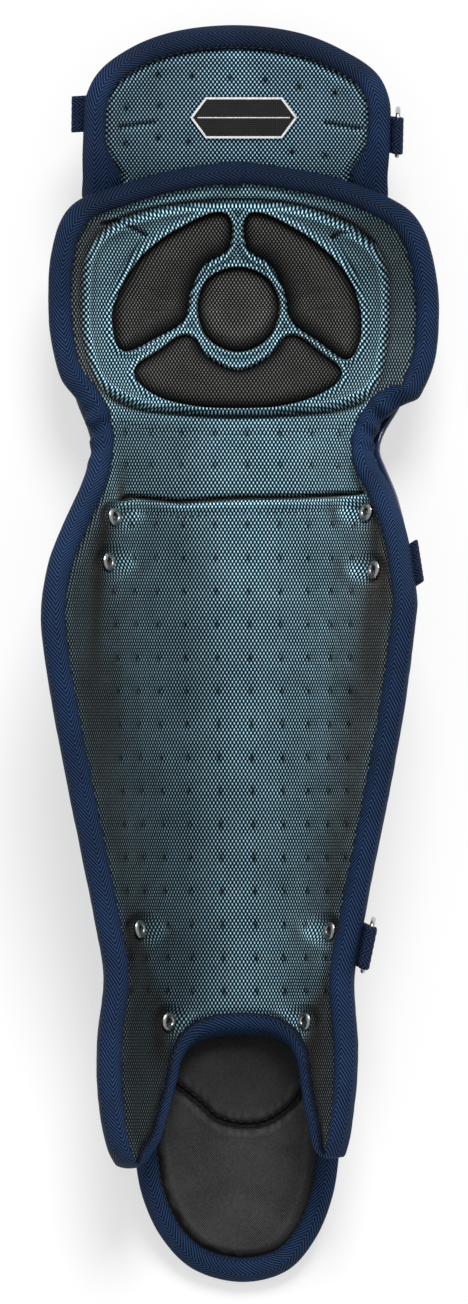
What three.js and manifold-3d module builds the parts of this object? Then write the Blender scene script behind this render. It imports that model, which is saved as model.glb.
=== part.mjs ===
// Baseball catcher leg guard, left leg. Millimetres, +Z up.
// It lies on its hard shells with the leg side up: +Y runs to the thigh, +X to the inner side of the leg.
// The padded liner is a trough that opens upwards. Each layer below it keeps a named distance from the
// liner's inner face, measured square to that face.
import * as THREE from 'three';
import { mergeVertices } from 'three/addons/utils/BufferGeometryUtils.js';
import Module from 'manifold-3d';

const wasm = await Module();
wasm.setup();

// Overall sizes
const GUARD_LENGTH = 660;
const HALF_WIDTH = 100;
const TROUGH_DEPTH = 92;
const THIGH_DEPTH = 31;
const FOOT_DEPTH = 37;

// Layers, square to the surface
const LINER_THICK = 9;
const THIGH_PAD_THICK = 9;
const FOOT_PAD_THICK = 8;
const SHELL_THICK = 3;
const SEAT_GAP = 0.4;

// Folded tape round the edges
const TAPE_THICK = 1.5;
const TAPE_COVER = 13;
const TAPE_GAP = 0.35;
const TAPE_RECESS = 0.8;
const ROOM_SHARE = 0.8;
const GATHER_DEPTH = 1.2;
const GATHER_WIDTH = 4;
const GATHER_PITCH = 8;
const GATHER_FOLDS = 3;

// Relief of the leg liner
const CUSHION_RISE = 3;
const WAIST_DEPTH = 3.6;
const KNEE_PAD_RISE = 4.5;
const PAD_GAP = 0.35;
const FOOT_SEAM_WIDTH = 2.4;
const FOOT_SEAM_DEPTH = 1.6;

// Badge patch on the thigh pad
const BADGE_WIDTH = 56.7;
const BADGE_HEIGHT = 21.5;
const BADGE_THICK = 1.2;

// Rivets
const RIVET_HEAD_R = 5;
const RIVET_HEAD_RISE = 2;
const RIVET_SHANK_R = 2;
const RIVET_SINK = 3;
const RIVET_CLEAR = 0.35;
const RIVET_SEAT = 0.7;

// Webbing tabs and the wire rings that they hold
const TAB_TAIL = 7;
const TAB_PLY = 1.4;
const TAB_GAP = 0.9;
const WIRE_R = 1.3;
const WIRE_CLEAR = 0.4;
const RING_DROP = 16;

// Flat spots where the guard rests
const REST_FLAT = 1;

// Stacks of layers that other heights follow
const SHELL_STACK = LINER_THICK + SEAT_GAP + SHELL_THICK;
const FOOT_STACK = FOOT_PAD_THICK + SEAT_GAP + SHELL_THICK + SEAT_GAP;
const TONGUE_SINK = TAPE_RECESS + TAPE_THICK + TAPE_GAP;

// Stations of the leg liner. y is a share of GUARD_LENGTH, lift of FOOT_STACK, rise of TROUGH_DEPTH,
// centre and half of HALF_WIDTH. A larger full makes a flatter floor.
const LEG_STATIONS = [
  { y: -0.430, lift: 1.08, rise: 0.60, centre: -0.045, half: 0.63, full: 1.4 },
  { y: -0.323, lift: 1.08, rise: 0.68, centre: -0.045, half: 0.68, full: 1.4 },
  { y: -0.252, lift: 1.15, rise: 0.68, centre: -0.030, half: 0.66, full: 1.4 },
  { y: -0.195, lift: 1.22, rise: 0.73, centre: -0.030, half: 0.73, full: 1.4 },
  { y: -0.117, lift: 1.36, rise: 0.85, centre: -0.030, half: 0.83, full: 1.4 },
  { y: -0.045, lift: 1.48, rise: 0.97, centre: -0.025, half: 0.93, full: 1.4 },
  { y: 0.030, lift: 1.52, rise: 1.00, centre: -0.025, half: 0.98, full: 1.4 },
  { y: 0.076, lift: 1.50, rise: 0.82, centre: -0.025, half: 0.93, full: 1.5 },
  { y: 0.124, lift: 1.38, rise: 0.56, centre: -0.020, half: 0.81, full: 1.7 },
  { y: 0.162, lift: 1.05, rise: 0.42, centre: -0.020, half: 0.77, full: 1.9 },
  { y: 0.191, lift: 0.62, rise: 0.42, centre: 0.000, half: 0.86, full: 2.2 },
  { y: 0.227, lift: 0.18, rise: 0.46, centre: 0.025, half: 1.00, full: 2.4 },
  { y: 0.274, lift: 0.00, rise: 0.48, centre: 0.030, half: 1.03, full: 2.4 },
  { y: 0.318, lift: 0.85, rise: 0.43, centre: 0.020, half: 0.99, full: 2.4 },
  { y: 0.364, lift: 2.05, rise: 0.34, centre: 0.000, half: 0.86, full: 2.3 },
  { y: 0.410, lift: 2.80, rise: 0.28, centre: 0.000, half: 0.82, full: 2.2 },
];

// Stations of the thigh pad, with rise as a share of THIGH_DEPTH.
const THIGH_STATIONS = [
  { y: 0.340, lift: 1.05, rise: 0.80, centre: 0.000, half: 0.84, full: 2.3 },
  { y: 0.364, lift: 1.775, rise: 0.78, centre: 0.000, half: 0.83, full: 2.3 },
  { y: 0.395, lift: 2.50, rise: 0.80, centre: 0.000, half: 0.82, full: 2.2 },
  { y: 0.440, lift: 2.70, rise: 0.90, centre: 0.000, half: 0.82, full: 2.2 },
  { y: 0.510, lift: 2.80, rise: 0.88, centre: 0.000, half: 0.82, full: 2.2 },
];

// Stations of the foot flap, with rise as a share of FOOT_DEPTH and lift of FOOT_STACK.
const FOOT_STATIONS = [
  { y: -0.510, lift: 0.00, rise: 0.30, centre: 0.000, half: 0.54, full: 1.7 },
  { y: -0.450, lift: 0.00, rise: 0.40, centre: 0.000, half: 0.54, full: 1.7 },
  { y: -0.400, lift: 0.01, rise: 0.56, centre: 0.000, half: 0.57, full: 1.5 },
  { y: -0.360, lift: 0.03, rise: 0.76, centre: -0.015, half: 0.60, full: 1.4 },
  { y: -0.310, lift: 0.07, rise: 0.98, centre: -0.035, half: 0.63, full: 1.4 },
  { y: -0.240, lift: 0.12, rise: 1.00, centre: -0.035, half: 0.63, full: 1.4 },
];

// Outline of the leg liner. x is a share of HALF_WIDTH, y of GUARD_LENGTH, and tape of TAPE_COVER.
const LEG_OUTLINE = [
  { x: 0.010, y: 0.3914, tape: 1 },
  { x: -0.305, y: 0.3862, tape: 1 },
  { x: -0.620, y: 0.3735, tape: 1 },
  { x: -0.830, y: 0.3608, tape: 1 },
  { x: -0.925, y: 0.3440, tape: 1 },
  { x: -0.982, y: 0.3130, tape: 1 },
  { x: -0.992, y: 0.2812, tape: 1 },
  { x: -0.977, y: 0.2494, tape: 1 },
  { x: -0.919, y: 0.2176, tape: 1 },
  { x: -0.830, y: 0.2000, tape: 1 },
  { x: -0.777, y: 0.1810, tape: 1 },
  { x: -0.772, y: 0.1618, tape: 1 },
  { x: -0.814, y: 0.1380, tape: 1 },
  { x: -0.908, y: 0.1062, tape: 1 },
  { x: -0.987, y: 0.0744, tape: 1 },
  { x: -1.024, y: 0.0330, tape: 1 },
  { x: -0.984, y: -0.0211, tape: 1 },
  { x: -0.929, y: -0.0688, tape: 1 },
  { x: -0.824, y: -0.1483, tape: 1 },
  { x: -0.735, y: -0.2150, tape: 1 },
  { x: -0.690, y: -0.2560, tape: 1 },
  { x: -0.724, y: -0.3080, tape: 1 },
  { x: -0.726, y: -0.3420, tape: 1 },
  { x: -0.690, y: -0.3800, tape: 1 },
  { x: -0.635, y: -0.4015, tape: 0.9 },
  { x: -0.541, y: -0.4110, tape: 0.8 },
  { x: -0.455, y: -0.4030, tape: 0.65 },
  { x: -0.400, y: -0.3900, tape: 0.5 },
  { x: -0.352, y: -0.3660, tape: 0.5 },
  { x: -0.305, y: -0.3400, tape: 0.5 },
  { x: -0.275, y: -0.3230, tape: 0.6 },
  { x: -0.190, y: -0.3095, tape: 0.85 },
  { x: 0.010, y: -0.3035, tape: 0.92 },
  { x: 0.205, y: -0.3085, tape: 0.85 },
  { x: 0.285, y: -0.3215, tape: 0.6 },
  { x: 0.312, y: -0.3400, tape: 0.5 },
  { x: 0.335, y: -0.3610, tape: 0.5 },
  { x: 0.370, y: -0.3850, tape: 0.55 },
  { x: 0.410, y: -0.3985, tape: 0.65 },
  { x: 0.475, y: -0.4030, tape: 0.8 },
  { x: 0.540, y: -0.3930, tape: 0.9 },
  { x: 0.588, y: -0.3600, tape: 1 },
  { x: 0.614, y: -0.3110, tape: 1 },
  { x: 0.595, y: -0.2590, tape: 1 },
  { x: 0.640, y: -0.2180, tape: 1 },
  { x: 0.772, y: -0.1165, tape: 1 },
  { x: 0.850, y: -0.0529, tape: 1 },
  { x: 0.908, y: 0.0108, tape: 1 },
  { x: 0.929, y: 0.0426, tape: 1 },
  { x: 0.908, y: 0.0720, tape: 1 },
  { x: 0.866, y: 0.1062, tape: 1 },
  { x: 0.782, y: 0.1380, tape: 1 },
  { x: 0.718, y: 0.1560, tape: 1 },
  { x: 0.722, y: 0.1760, tape: 1 },
  { x: 0.800, y: 0.1925, tape: 1 },
  { x: 0.935, y: 0.2050, tape: 1 },
  { x: 1.020, y: 0.2290, tape: 1 },
  { x: 1.050, y: 0.2650, tape: 1 },
  { x: 1.040, y: 0.2971, tape: 1 },
  { x: 0.985, y: 0.3310, tape: 1 },
  { x: 0.905, y: 0.3500, tape: 1 },
  { x: 0.787, y: 0.3625, tape: 1 },
  { x: 0.535, y: 0.3782, tape: 1 },
  { x: 0.325, y: 0.3852, tape: 1 },
];

// Outline of the thigh pad, its lower run hidden under the liner.
const THIGH_OUTLINE = [
  { x: -0.020, y: 0.5000, tape: 1 },
  { x: -0.352, y: 0.4944, tape: 1 },
  { x: -0.572, y: 0.4817, tape: 1 },
  { x: -0.735, y: 0.4626, tape: 1 },
  { x: -0.803, y: 0.4400, tape: 1 },
  { x: -0.812, y: 0.4150, tape: 1 },
  { x: -0.819, y: 0.3800, tape: 1 },
  { x: -0.800, y: 0.3560, tape: 1 },
  { x: -0.680, y: 0.3460, tape: 1 },
  { x: -0.300, y: 0.3440, tape: 1 },
  { x: 0.300, y: 0.3440, tape: 1 },
  { x: 0.650, y: 0.3460, tape: 1 },
  { x: 0.768, y: 0.3560, tape: 1 },
  { x: 0.790, y: 0.3800, tape: 1 },
  { x: 0.798, y: 0.4150, tape: 1 },
  { x: 0.795, y: 0.4400, tape: 1 },
  { x: 0.725, y: 0.4626, tape: 1 },
  { x: 0.536, y: 0.4817, tape: 1 },
  { x: 0.310, y: 0.4944, tape: 1 },
];

// Outline of the foot flap, its upper run hidden under the liner.
const FOOT_OUTLINE = [
  { x: 0.026, y: -0.5000, tape: 1 },
  { x: 0.260, y: -0.4910, tape: 1 },
  { x: 0.405, y: -0.4670, tape: 1 },
  { x: 0.494, y: -0.4347, tape: 1 },
  { x: 0.530, y: -0.4029, tape: 1 },
  { x: 0.535, y: -0.3600, tape: 1 },
  { x: 0.580, y: -0.3150, tape: 1 },
  { x: 0.560, y: -0.2850, tape: 1 },
  { x: 0.440, y: -0.2720, tape: 1 },
  { x: -0.020, y: -0.2690, tape: 1 },
  { x: -0.480, y: -0.2720, tape: 1 },
  { x: -0.600, y: -0.2850, tape: 1 },
  { x: -0.620, y: -0.3150, tape: 1 },
  { x: -0.555, y: -0.3600, tape: 1 },
  { x: -0.542, y: -0.4000, tape: 1 },
  { x: -0.499, y: -0.4347, tape: 1 },
  { x: -0.400, y: -0.4660, tape: 1 },
  { x: -0.235, y: -0.4900, tape: 1 },
];

// Raised knee cushion of the liner
const CUSHION_OUTLINE = [
  { x: 0.010, y: 0.3583 },
  { x: -0.400, y: 0.3530 },
  { x: -0.672, y: 0.3385 },
  { x: -0.780, y: 0.3180 },
  { x: -0.809, y: 0.2850 },
  { x: -0.798, y: 0.2494 },
  { x: -0.720, y: 0.2150 },
  { x: -0.560, y: 0.1985 },
  { x: -0.250, y: 0.1920 },
  { x: 0.010, y: 0.1905 },
  { x: 0.280, y: 0.1920 },
  { x: 0.570, y: 0.1980 },
  { x: 0.710, y: 0.2110 },
  { x: 0.772, y: 0.2494 },
  { x: 0.782, y: 0.2891 },
  { x: 0.735, y: 0.3180 },
  { x: 0.600, y: 0.3380 },
  { x: 0.326, y: 0.3540 },
];

// The sunk waist between the knee cushion and the shin foam, with the shin foam's ledge as its lower run
const WAIST_OUTLINE = [
  { x: -0.560, y: 0.1225 },
  { x: -0.200, y: 0.1232 },
  { x: 0.250, y: 0.1240 },
  { x: 0.640, y: 0.1262 },
  { x: 0.600, y: 0.1500 },
  { x: 0.560, y: 0.1765 },
  { x: 0.280, y: 0.1745 },
  { x: 0.000, y: 0.1735 },
  { x: -0.280, y: 0.1745 },
  { x: -0.580, y: 0.1780 },
  { x: -0.590, y: 0.1500 },
];

// Black pads of the knee, in the windows of the cushion's web
const PAD_OUTLINES = {
  knee_pad_upper_left: [
    { x: -0.068, y: 0.3500 },
    { x: -0.305, y: 0.3385 },
    { x: -0.515, y: 0.3145 },
    { x: -0.630, y: 0.2850 },
    { x: -0.656, y: 0.2650 },
    { x: -0.620, y: 0.2420 },
    { x: -0.430, y: 0.2535 },
    { x: -0.290, y: 0.2670 },
    { x: -0.263, y: 0.2880 },
    { x: -0.180, y: 0.3120 },
    { x: -0.060, y: 0.3235 },
  ],
  knee_pad_upper_right: [
    { x: 0.063, y: 0.3500 },
    { x: 0.060, y: 0.3235 },
    { x: 0.175, y: 0.3120 },
    { x: 0.262, y: 0.2860 },
    { x: 0.285, y: 0.2665 },
    { x: 0.430, y: 0.2500 },
    { x: 0.588, y: 0.2345 },
    { x: 0.635, y: 0.2470 },
    { x: 0.640, y: 0.2732 },
    { x: 0.588, y: 0.2971 },
    { x: 0.457, y: 0.3209 },
    { x: 0.247, y: 0.3420 },
  ],
  knee_pad_lower: [
    { x: -0.550, y: 0.2230 },
    { x: -0.410, y: 0.2390 },
    { x: -0.265, y: 0.2520 },
    { x: -0.175, y: 0.2350 },
    { x: 0.000, y: 0.2230 },
    { x: 0.175, y: 0.2350 },
    { x: 0.275, y: 0.2520 },
    { x: 0.430, y: 0.2370 },
    { x: 0.550, y: 0.2210 },
    { x: 0.450, y: 0.2080 },
    { x: 0.230, y: 0.1985 },
    { x: 0.010, y: 0.1965 },
    { x: -0.245, y: 0.1985 },
    { x: -0.460, y: 0.2080 },
  ],
  knee_pad_center: [
    { x: 0.000, y: 0.3070 },
    { x: -0.145, y: 0.2985 },
    { x: -0.200, y: 0.2760 },
    { x: -0.150, y: 0.2520 },
    { x: 0.000, y: 0.2415 },
    { x: 0.150, y: 0.2520 },
    { x: 0.205, y: 0.2760 },
    { x: 0.145, y: 0.2985 },
  ],
};

// Outlines of the hard shells
const SHIN_SHELL_OUTLINE = [
  { x: -0.60, y: 0.150 },
  { x: -0.80, y: 0.110 },
  { x: -0.86, y: 0.040 },
  { x: -0.80, y: -0.060 },
  { x: -0.66, y: -0.180 },
  { x: -0.55, y: -0.270 },
  { x: -0.42, y: -0.305 },
  { x: -0.20, y: -0.290 },
  { x: 0.00, y: -0.284 },
  { x: 0.20, y: -0.290 },
  { x: 0.40, y: -0.305 },
  { x: 0.48, y: -0.270 },
  { x: 0.56, y: -0.180 },
  { x: 0.72, y: -0.060 },
  { x: 0.80, y: 0.040 },
  { x: 0.76, y: 0.110 },
  { x: 0.58, y: 0.150 },
  { x: 0.00, y: 0.158 },
];
const KNEE_SHELL_OUTLINE = [
  { x: -0.40, y: 0.322 },
  { x: -0.68, y: 0.312 },
  { x: -0.82, y: 0.292 },
  { x: -0.84, y: 0.265 },
  { x: -0.78, y: 0.215 },
  { x: -0.68, y: 0.175 },
  { x: -0.74, y: 0.130 },
  { x: -0.72, y: 0.098 },
  { x: -0.48, y: 0.094 },
  { x: 0.00, y: 0.088 },
  { x: 0.50, y: 0.096 },
  { x: 0.76, y: 0.100 },
  { x: 0.76, y: 0.130 },
  { x: 0.66, y: 0.175 },
  { x: 0.80, y: 0.215 },
  { x: 0.88, y: 0.265 },
  { x: 0.86, y: 0.292 },
  { x: 0.70, y: 0.312 },
  { x: 0.40, y: 0.322 },
  { x: 0.00, y: 0.325 },
];
const THIGH_SHELL_OUTLINE = [
  { x: -0.58, y: 0.376 },
  { x: 0.00, y: 0.374 },
  { x: 0.56, y: 0.376 },
  { x: 0.66, y: 0.392 },
  { x: 0.66, y: 0.440 },
  { x: 0.48, y: 0.468 },
  { x: 0.00, y: 0.482 },
  { x: -0.50, y: 0.468 },
  { x: -0.68, y: 0.440 },
  { x: -0.68, y: 0.392 },
];
const FOOT_SHELL_OUTLINE = [
  { x: -0.34, y: -0.312 },
  { x: 0.00, y: -0.306 },
  { x: 0.32, y: -0.312 },
  { x: 0.43, y: -0.345 },
  { x: 0.43, y: -0.410 },
  { x: 0.34, y: -0.450 },
  { x: 0.18, y: -0.476 },
  { x: 0.02, y: -0.482 },
  { x: -0.16, y: -0.476 },
  { x: -0.32, y: -0.450 },
  { x: -0.43, y: -0.410 },
  { x: -0.45, y: -0.345 },
];

// How far the knee cap stands off below the liner where it laps over the shin shell.
// sink is a share of SHELL_THICK and SEAT_GAP together.
const CAP_STATIONS = [
  { y: 0.085, sink: 1.00 },
  { y: 0.150, sink: 1.06 },
  { y: 0.190, sink: 0.90 },
  { y: 0.235, sink: 0.20 },
  { y: 0.274, sink: 0.00 },
  { y: 0.370, sink: 0.00 },
];

// Rivets, by the shells that they pass through
const RIVETS = [
  { name: 'rivet_knee_left', x: -0.630, y: 0.1094, through: 'cap' },
  { name: 'rivet_knee_right', x: 0.655, y: 0.1133, through: 'cap' },
  { name: 'rivet_shin_left', x: -0.660, y: 0.0736, through: 'shin' },
  { name: 'rivet_shin_right', x: 0.695, y: 0.0673, through: 'shin' },
  { name: 'rivet_calf_left', x: -0.495, y: -0.2188, through: 'shin' },
  { name: 'rivet_calf_right', x: 0.462, y: -0.2200, through: 'shin' },
  { name: 'rivet_foot_left', x: -0.347, y: -0.2930, through: 'foot' },
  { name: 'rivet_foot_right', x: 0.332, y: -0.2925, through: 'foot' },
];

// Webbing tabs: y is the middle of each on its side of the outline, as a share of GUARD_LENGTH.
// width runs along the edge and reach past it, in millimetres.
const TABS = [
  { name: 'thigh_tab_left', side: -1, of: 'thigh', y: 0.4268, width: 19, reach: 5.8, ring: null },
  { name: 'thigh_tab_right', side: 1, of: 'thigh', y: 0.4096, width: 19.5, reach: 6.4, ring: 'thigh_ring' },
  { name: 'shin_tab_right', side: 1, of: 'leg', y: 0.0768, width: 25, reach: 3.8, ring: null },
  { name: 'ankle_tab_right', side: 1, of: 'leg', y: -0.2303, width: 23, reach: 9, ring: 'ankle_ring' },
];

// Stitched seam across the foot flap: the middle of its groove
const FOOT_SEAM = [
  { x: -0.320, y: -0.3440 },
  { x: -0.200, y: -0.3583 },
  { x: -0.115, y: -0.3700 },
  { x: 0.010, y: -0.3752 },
  { x: 0.145, y: -0.3733 },
  { x: 0.270, y: -0.3610 },
  { x: 0.345, y: -0.3470 },
];

// Middle of the waist's gathers
const WAIST_Y = 0.165;

// Centre of the badge patch
const BADGE_AT = { x: 0.031, y: 0.4264 };

// Fineness of the faceted surfaces
const EDGE_STEP = 36;
const EDGE_TURN = 0.8;
const LEG_COLUMNS = [0, 0.32, 0.58, 0.8, 1.08];
const THIGH_COLUMNS = [0, 0.4, 0.72, 1.1];
const FOOT_COLUMNS = [0, 0.4, 0.75, 1.1];
const BOWL = 0.0003;
const DEEP = 400;
const SLOPE_STEP = 0.5;

// A value of a table of stations at y, on a smooth curve through its rows
function stationValue(stations, column, y) {
  const share = y / GUARD_LENGTH;
  const last = stations.length - 1;
  let i = 0;
  while (i < last - 1 && share > stations[i + 1].y) i += 1;
  const row = (k) => stations[Math.min(Math.max(k, 0), last)];
  const span = row(i + 1).y - row(i).y;
  const slope = (k) => (row(k + 1)[column] - row(k - 1)[column]) / (row(k + 1).y - row(k - 1).y);
  const t = THREE.MathUtils.clamp((share - row(i).y) / span, 0, 1);
  const a = (1 + 2 * t) * (1 - t) ** 2 * row(i)[column];
  const b = t * (1 - t) ** 2 * span * slope(i);
  const c = t * t * (3 - 2 * t) * row(i + 1)[column];
  const d = t * t * (t - 1) * span * slope(i + 1);
  return a + b + c + d;
}

// Rise of the trough's side: 0 on the centre line, 1 at the station's half width, flattening past it
const FLARE = 0.75;
function troughRise(q, full) {
  const raw = (s) => s ** (full + 1) / (full + 1) - FLARE * s ** (full + 4) / (full + 4);
  const flat = (1 / FLARE) ** (1 / 3);
  return raw(Math.min(q, flat)) / raw(1);
}

// A trough: the faceted inner face of a layer, and the way out square to it.
// Its facets join rows at the stations and columns at fixed shares of the half width. Every layer that
// follows a trough uses the same facets, so layers stay parallel wherever they are cut.
class Trough {
  constructor(stations, base, depth, columns) {
    this.stations = stations;
    this.base = base;
    this.depth = depth;
    this.shares = [...columns.slice(1).reverse().map((q) => -q), ...columns];
    this.rows = stations.map((station) => this.row(station.y * GUARD_LENGTH));
  }

  smoothHeight(x, y) {
    const at = (column) => stationValue(this.stations, column, y);
    const q = Math.abs(x - at('centre') * HALF_WIDTH) / (at('half') * HALF_WIDTH);
    return this.base + at('lift') * FOOT_STACK + at('rise') * this.depth * troughRise(q, at('full'));
  }

  // The grid's vertices along a row, each with its normal
  row(y) {
    const centre = stationValue(this.stations, 'centre', y) * HALF_WIDTH;
    const half = stationValue(this.stations, 'half', y) * HALF_WIDTH;
    return this.shares.map((q) => {
      const x = centre + q * half;
      const dx = this.smoothHeight(x + SLOPE_STEP, y) - this.smoothHeight(x - SLOPE_STEP, y);
      const dy = this.smoothHeight(x, y + SLOPE_STEP) - this.smoothHeight(x, y - SLOPE_STEP);
      const normal = new THREE.Vector3(-dx, -dy, 2 * SLOPE_STEP).normalize();
      return { at: new THREE.Vector3(x, y, this.smoothHeight(x, y)), normal };
    });
  }

  // The facet's corners over a plan point, with the point's weights on them
  facet(x, y) {
    let j = 0;
    while (j < this.rows.length - 2 && y > this.rows[j + 1][0].at.y) j += 1;
    const [low, high] = [this.rows[j], this.rows[j + 1]];
    const t = (y - low[0].at.y) / (high[0].at.y - low[0].at.y);
    const line = (i) => low[i].at.x * (1 - t) + high[i].at.x * t;
    let i = 0;
    while (i < low.length - 2 && x > line(i + 1)) i += 1;
    const corners = [low[i], low[i + 1], high[i + 1], high[i]];
    for (const [a, b, c] of [[0, 1, 2], [0, 2, 3]]) {
      const [p, q, r] = [corners[a], corners[b], corners[c]];
      const area = cross2(p.at, q.at, r.at);
      const here = { x, y };
      const weights = [cross2(here, q.at, r.at) / area, cross2(p.at, here, r.at) / area];
      weights.push(1 - weights[0] - weights[1]);
      if (Math.min(...weights) > -1e-6 || a + b + c === 5) return { corners: [p, q, r], weights };
    }
    return null;
  }

  normal(x, y) {
    const { corners, weights } = this.facet(x, y);
    const sum = new THREE.Vector3();
    corners.forEach((c, k) => sum.addScaledVector(c.normal, weights[k]));
    return sum.normalize();
  }

  // The point that lies h above the inner face, less the sink there
  point(x, y, h, sink = noSink) {
    const { corners, weights } = this.facet(x, y);
    const sum = new THREE.Vector3();
    corners.forEach((c, k) => {
      const out = c.at.clone().addScaledVector(c.normal, h - sink(c.at.y));
      sum.addScaledVector(out, weights[k]);
    });
    return sum;
  }
}
const cross2 = (a, b, c) => (b.x - a.x) * (c.y - a.y) - (b.y - a.y) * (c.x - a.x);
const noSink = () => 0;

const leg = new Trough(LEG_STATIONS, SHELL_STACK - REST_FLAT, TROUGH_DEPTH, LEG_COLUMNS);
const thigh = new Trough(THIGH_STATIONS, SHELL_THICK, THIGH_DEPTH, THIGH_COLUMNS);
const footBase = FOOT_PAD_THICK + SEAT_GAP + SHELL_THICK - REST_FLAT;
const foot = new Trough(FOOT_STATIONS, footBase, FOOT_DEPTH, FOOT_COLUMNS);

// Solids and meshes
function toSolid(geometry) {
  const bare = geometry.clone();
  bare.deleteAttribute('normal');
  bare.deleteAttribute('uv');
  const merged = mergeVertices(bare, 1e-4);
  return new wasm.Manifold(new wasm.Mesh({
    numProp: 3,
    vertProperties: new Float32Array(merged.attributes.position.array),
    triVerts: new Uint32Array(merged.index.array),
  }));
}

function toGeometry(solid, place = (p) => p) {
  const mesh = solid.getMesh();
  const positions = [];
  for (let i = 0; i < mesh.vertProperties.length; i += mesh.numProp) {
    const p = place(new THREE.Vector3(...mesh.vertProperties.slice(i, i + 3)));
    positions.push(p.x, p.y, p.z);
  }
  const geometry = new THREE.BufferGeometry();
  geometry.setAttribute('position', new THREE.Float32BufferAttribute(positions, 3));
  geometry.setIndex(Array.from(mesh.triVerts));
  return geometry;
}

// A closed loft round through rings of equal length
function loft(rings) {
  const n = rings[0].length;
  const positions = rings.flat().flatMap((p) => [p.x, p.y, p.z]);
  const index = [];
  rings.forEach((ring, i) => {
    const a = i * n;
    const b = ((i + 1) % rings.length) * n;
    for (let j = 0; j < n; j += 1) {
      const k = (j + 1) % n;
      index.push(a + j, b + k, b + j, a + j, a + k, b + k);
    }
  });
  const geometry = new THREE.BufferGeometry();
  geometry.setAttribute('position', new THREE.Float32BufferAttribute(positions, 3));
  geometry.setIndex(index);
  return geometry;
}

// An outline's closed smooth curve as stations: plan point, inward normal, and share of the tape's cover
function edgeStations(rows, step = EDGE_STEP) {
  const points = rows.map((r) => new THREE.Vector3(r.x * HALF_WIDTH, r.y * GUARD_LENGTH, r.tape ?? 1));
  const flatCurve = new THREE.CatmullRomCurve3(points.map((p) => new THREE.Vector3(p.x, p.y, 0)), true);
  const turnCurve = new THREE.CatmullRomCurve3(points, true);
  const length = flatCurve.getLength();
  const samples = 12 * points.length;
  const fine = Array.from({ length: samples }, (_, i) => turnCurve.getPoint(i / samples));
  const heading = (i) => {
    const a = fine[(i + samples - 1) % samples];
    const b = fine[(i + 1) % samples];
    return Math.atan2(b.y - a.y, b.x - a.x);
  };
  // Stations come closer where the edge turns
  const weights = fine.map((p, i) => {
    const q = fine[(i + 1) % samples];
    const turn = Math.abs(Math.atan2(
      Math.sin(heading((i + 1) % samples) - heading(i)),
      Math.cos(heading((i + 1) % samples) - heading(i)),
    ));
    return Math.hypot(q.x - p.x, q.y - p.y) / step + turn / EDGE_TURN;
  });
  const total = weights.reduce((a, b) => a + b, 0);
  const count = Math.round(total);
  const picked = [];
  let sum = 0;
  for (let i = 0; i < samples; i += 1) {
    if (picked.length < count && sum >= (picked.length * total) / count) picked.push(i);
    sum += weights[i];
  }
  const area = THREE.ShapeUtils.area(fine);
  const turned = area > 0 ? 1 : -1;
  return picked.map((i) => {
    const way = heading(i);
    const inward = new THREE.Vector2(-Math.sin(way) * turned, Math.cos(way) * turned);
    return { x: fine[i].x, y: fine[i].y, inward, tape: fine[i].z, length };
  });
}

// Each station's room: the radius of the largest circle inside the outline that touches it there
function withRoom(stations) {
  return stations.map((s) => {
    let room = Infinity;
    for (const t of stations) {
      const away = new THREE.Vector2(t.x - s.x, t.y - s.y);
      const reach = away.dot(s.inward);
      if (reach > 1e-6) room = Math.min(room, away.lengthSq() / (2 * reach));
    }
    return { ...s, room };
  });
}

// The tape's cover at a station, less where the outline is narrow
function coverAt(station) {
  return Math.min(TAPE_COVER * station.tape, ROOM_SHARE * station.room);
}

function insetOutline(stations, inset) {
  return stations.map((s) => {
    const d = inset(s);
    return new THREE.Vector2(s.x + s.inward.x * d, s.y + s.inward.y * d);
  });
}

// An upright prism on a plan outline
function prism(outline) {
  const shape = new THREE.Shape(outline);
  const geometry = new THREE.ExtrudeGeometry(shape, { depth: 2 * DEEP, bevelEnabled: false });
  geometry.translate(0, 0, -DEEP);
  return toSolid(geometry);
}

// Flat working space: x and y are the plan, and z is the height h above the inner face plus a shallow bowl,
// which keeps the grid's facets apart until they are bent.
const bowl = (x, y) => BOWL * (x * x + y * y);

function gridPlate(trough, low, high) {
  const rows = trough.rows.length - 1;
  const n = trough.shares.length;
  const plan = trough.rows.flat().map((v) => v.at);
  const level = (h) => plan.flatMap((p) => [p.x, p.y, h + bowl(p.x, p.y)]);
  const positions = [...level(high), ...level(low)];
  const index = [];
  const under = plan.length;
  for (let j = 0; j < rows; j += 1) {
    for (let i = 0; i < n - 1; i += 1) {
      const a = j * n + i;
      index.push(a, a + 1, a + n + 1, a, a + n + 1, a + n);
      index.push(under + a, under + a + n + 1, under + a + 1, under + a, under + a + n, under + a + n + 1);
    }
  }
  const rim = [];
  for (let i = 0; i < n; i += 1) rim.push(i);
  for (let j = 1; j <= rows; j += 1) rim.push(j * n + n - 1);
  for (let i = n - 2; i >= 0; i -= 1) rim.push(rows * n + i);
  for (let j = rows - 1; j > 0; j -= 1) rim.push(j * n);
  rim.forEach((a, k) => {
    const b = rim[(k + 1) % rim.length];
    index.push(a, under + a, under + b, a, under + b, b);
  });
  const geometry = new THREE.BufferGeometry();
  geometry.setAttribute('position', new THREE.Float32BufferAttribute(positions, 3));
  geometry.setIndex(index);
  return toSolid(geometry);
}

// A plate in the flat working space between two levels, cut to an outline
function plate(trough, outline, low, high) {
  return gridPlate(trough, low, high).intersect(prism(outline));
}

// Bends a flat solid onto its trough. Each vertex snaps to the nearest of the solid's levels.
function bend(solid, trough, levels, sink = noSink) {
  return toGeometry(solid, (p) => {
    const raw = p.z - bowl(p.x, p.y);
    const h = levels.reduce((a, b) => (Math.abs(b - raw) < Math.abs(a - raw) ? b : a));
    return trough.point(p.x, p.y, h, sink);
  });
}

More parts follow.
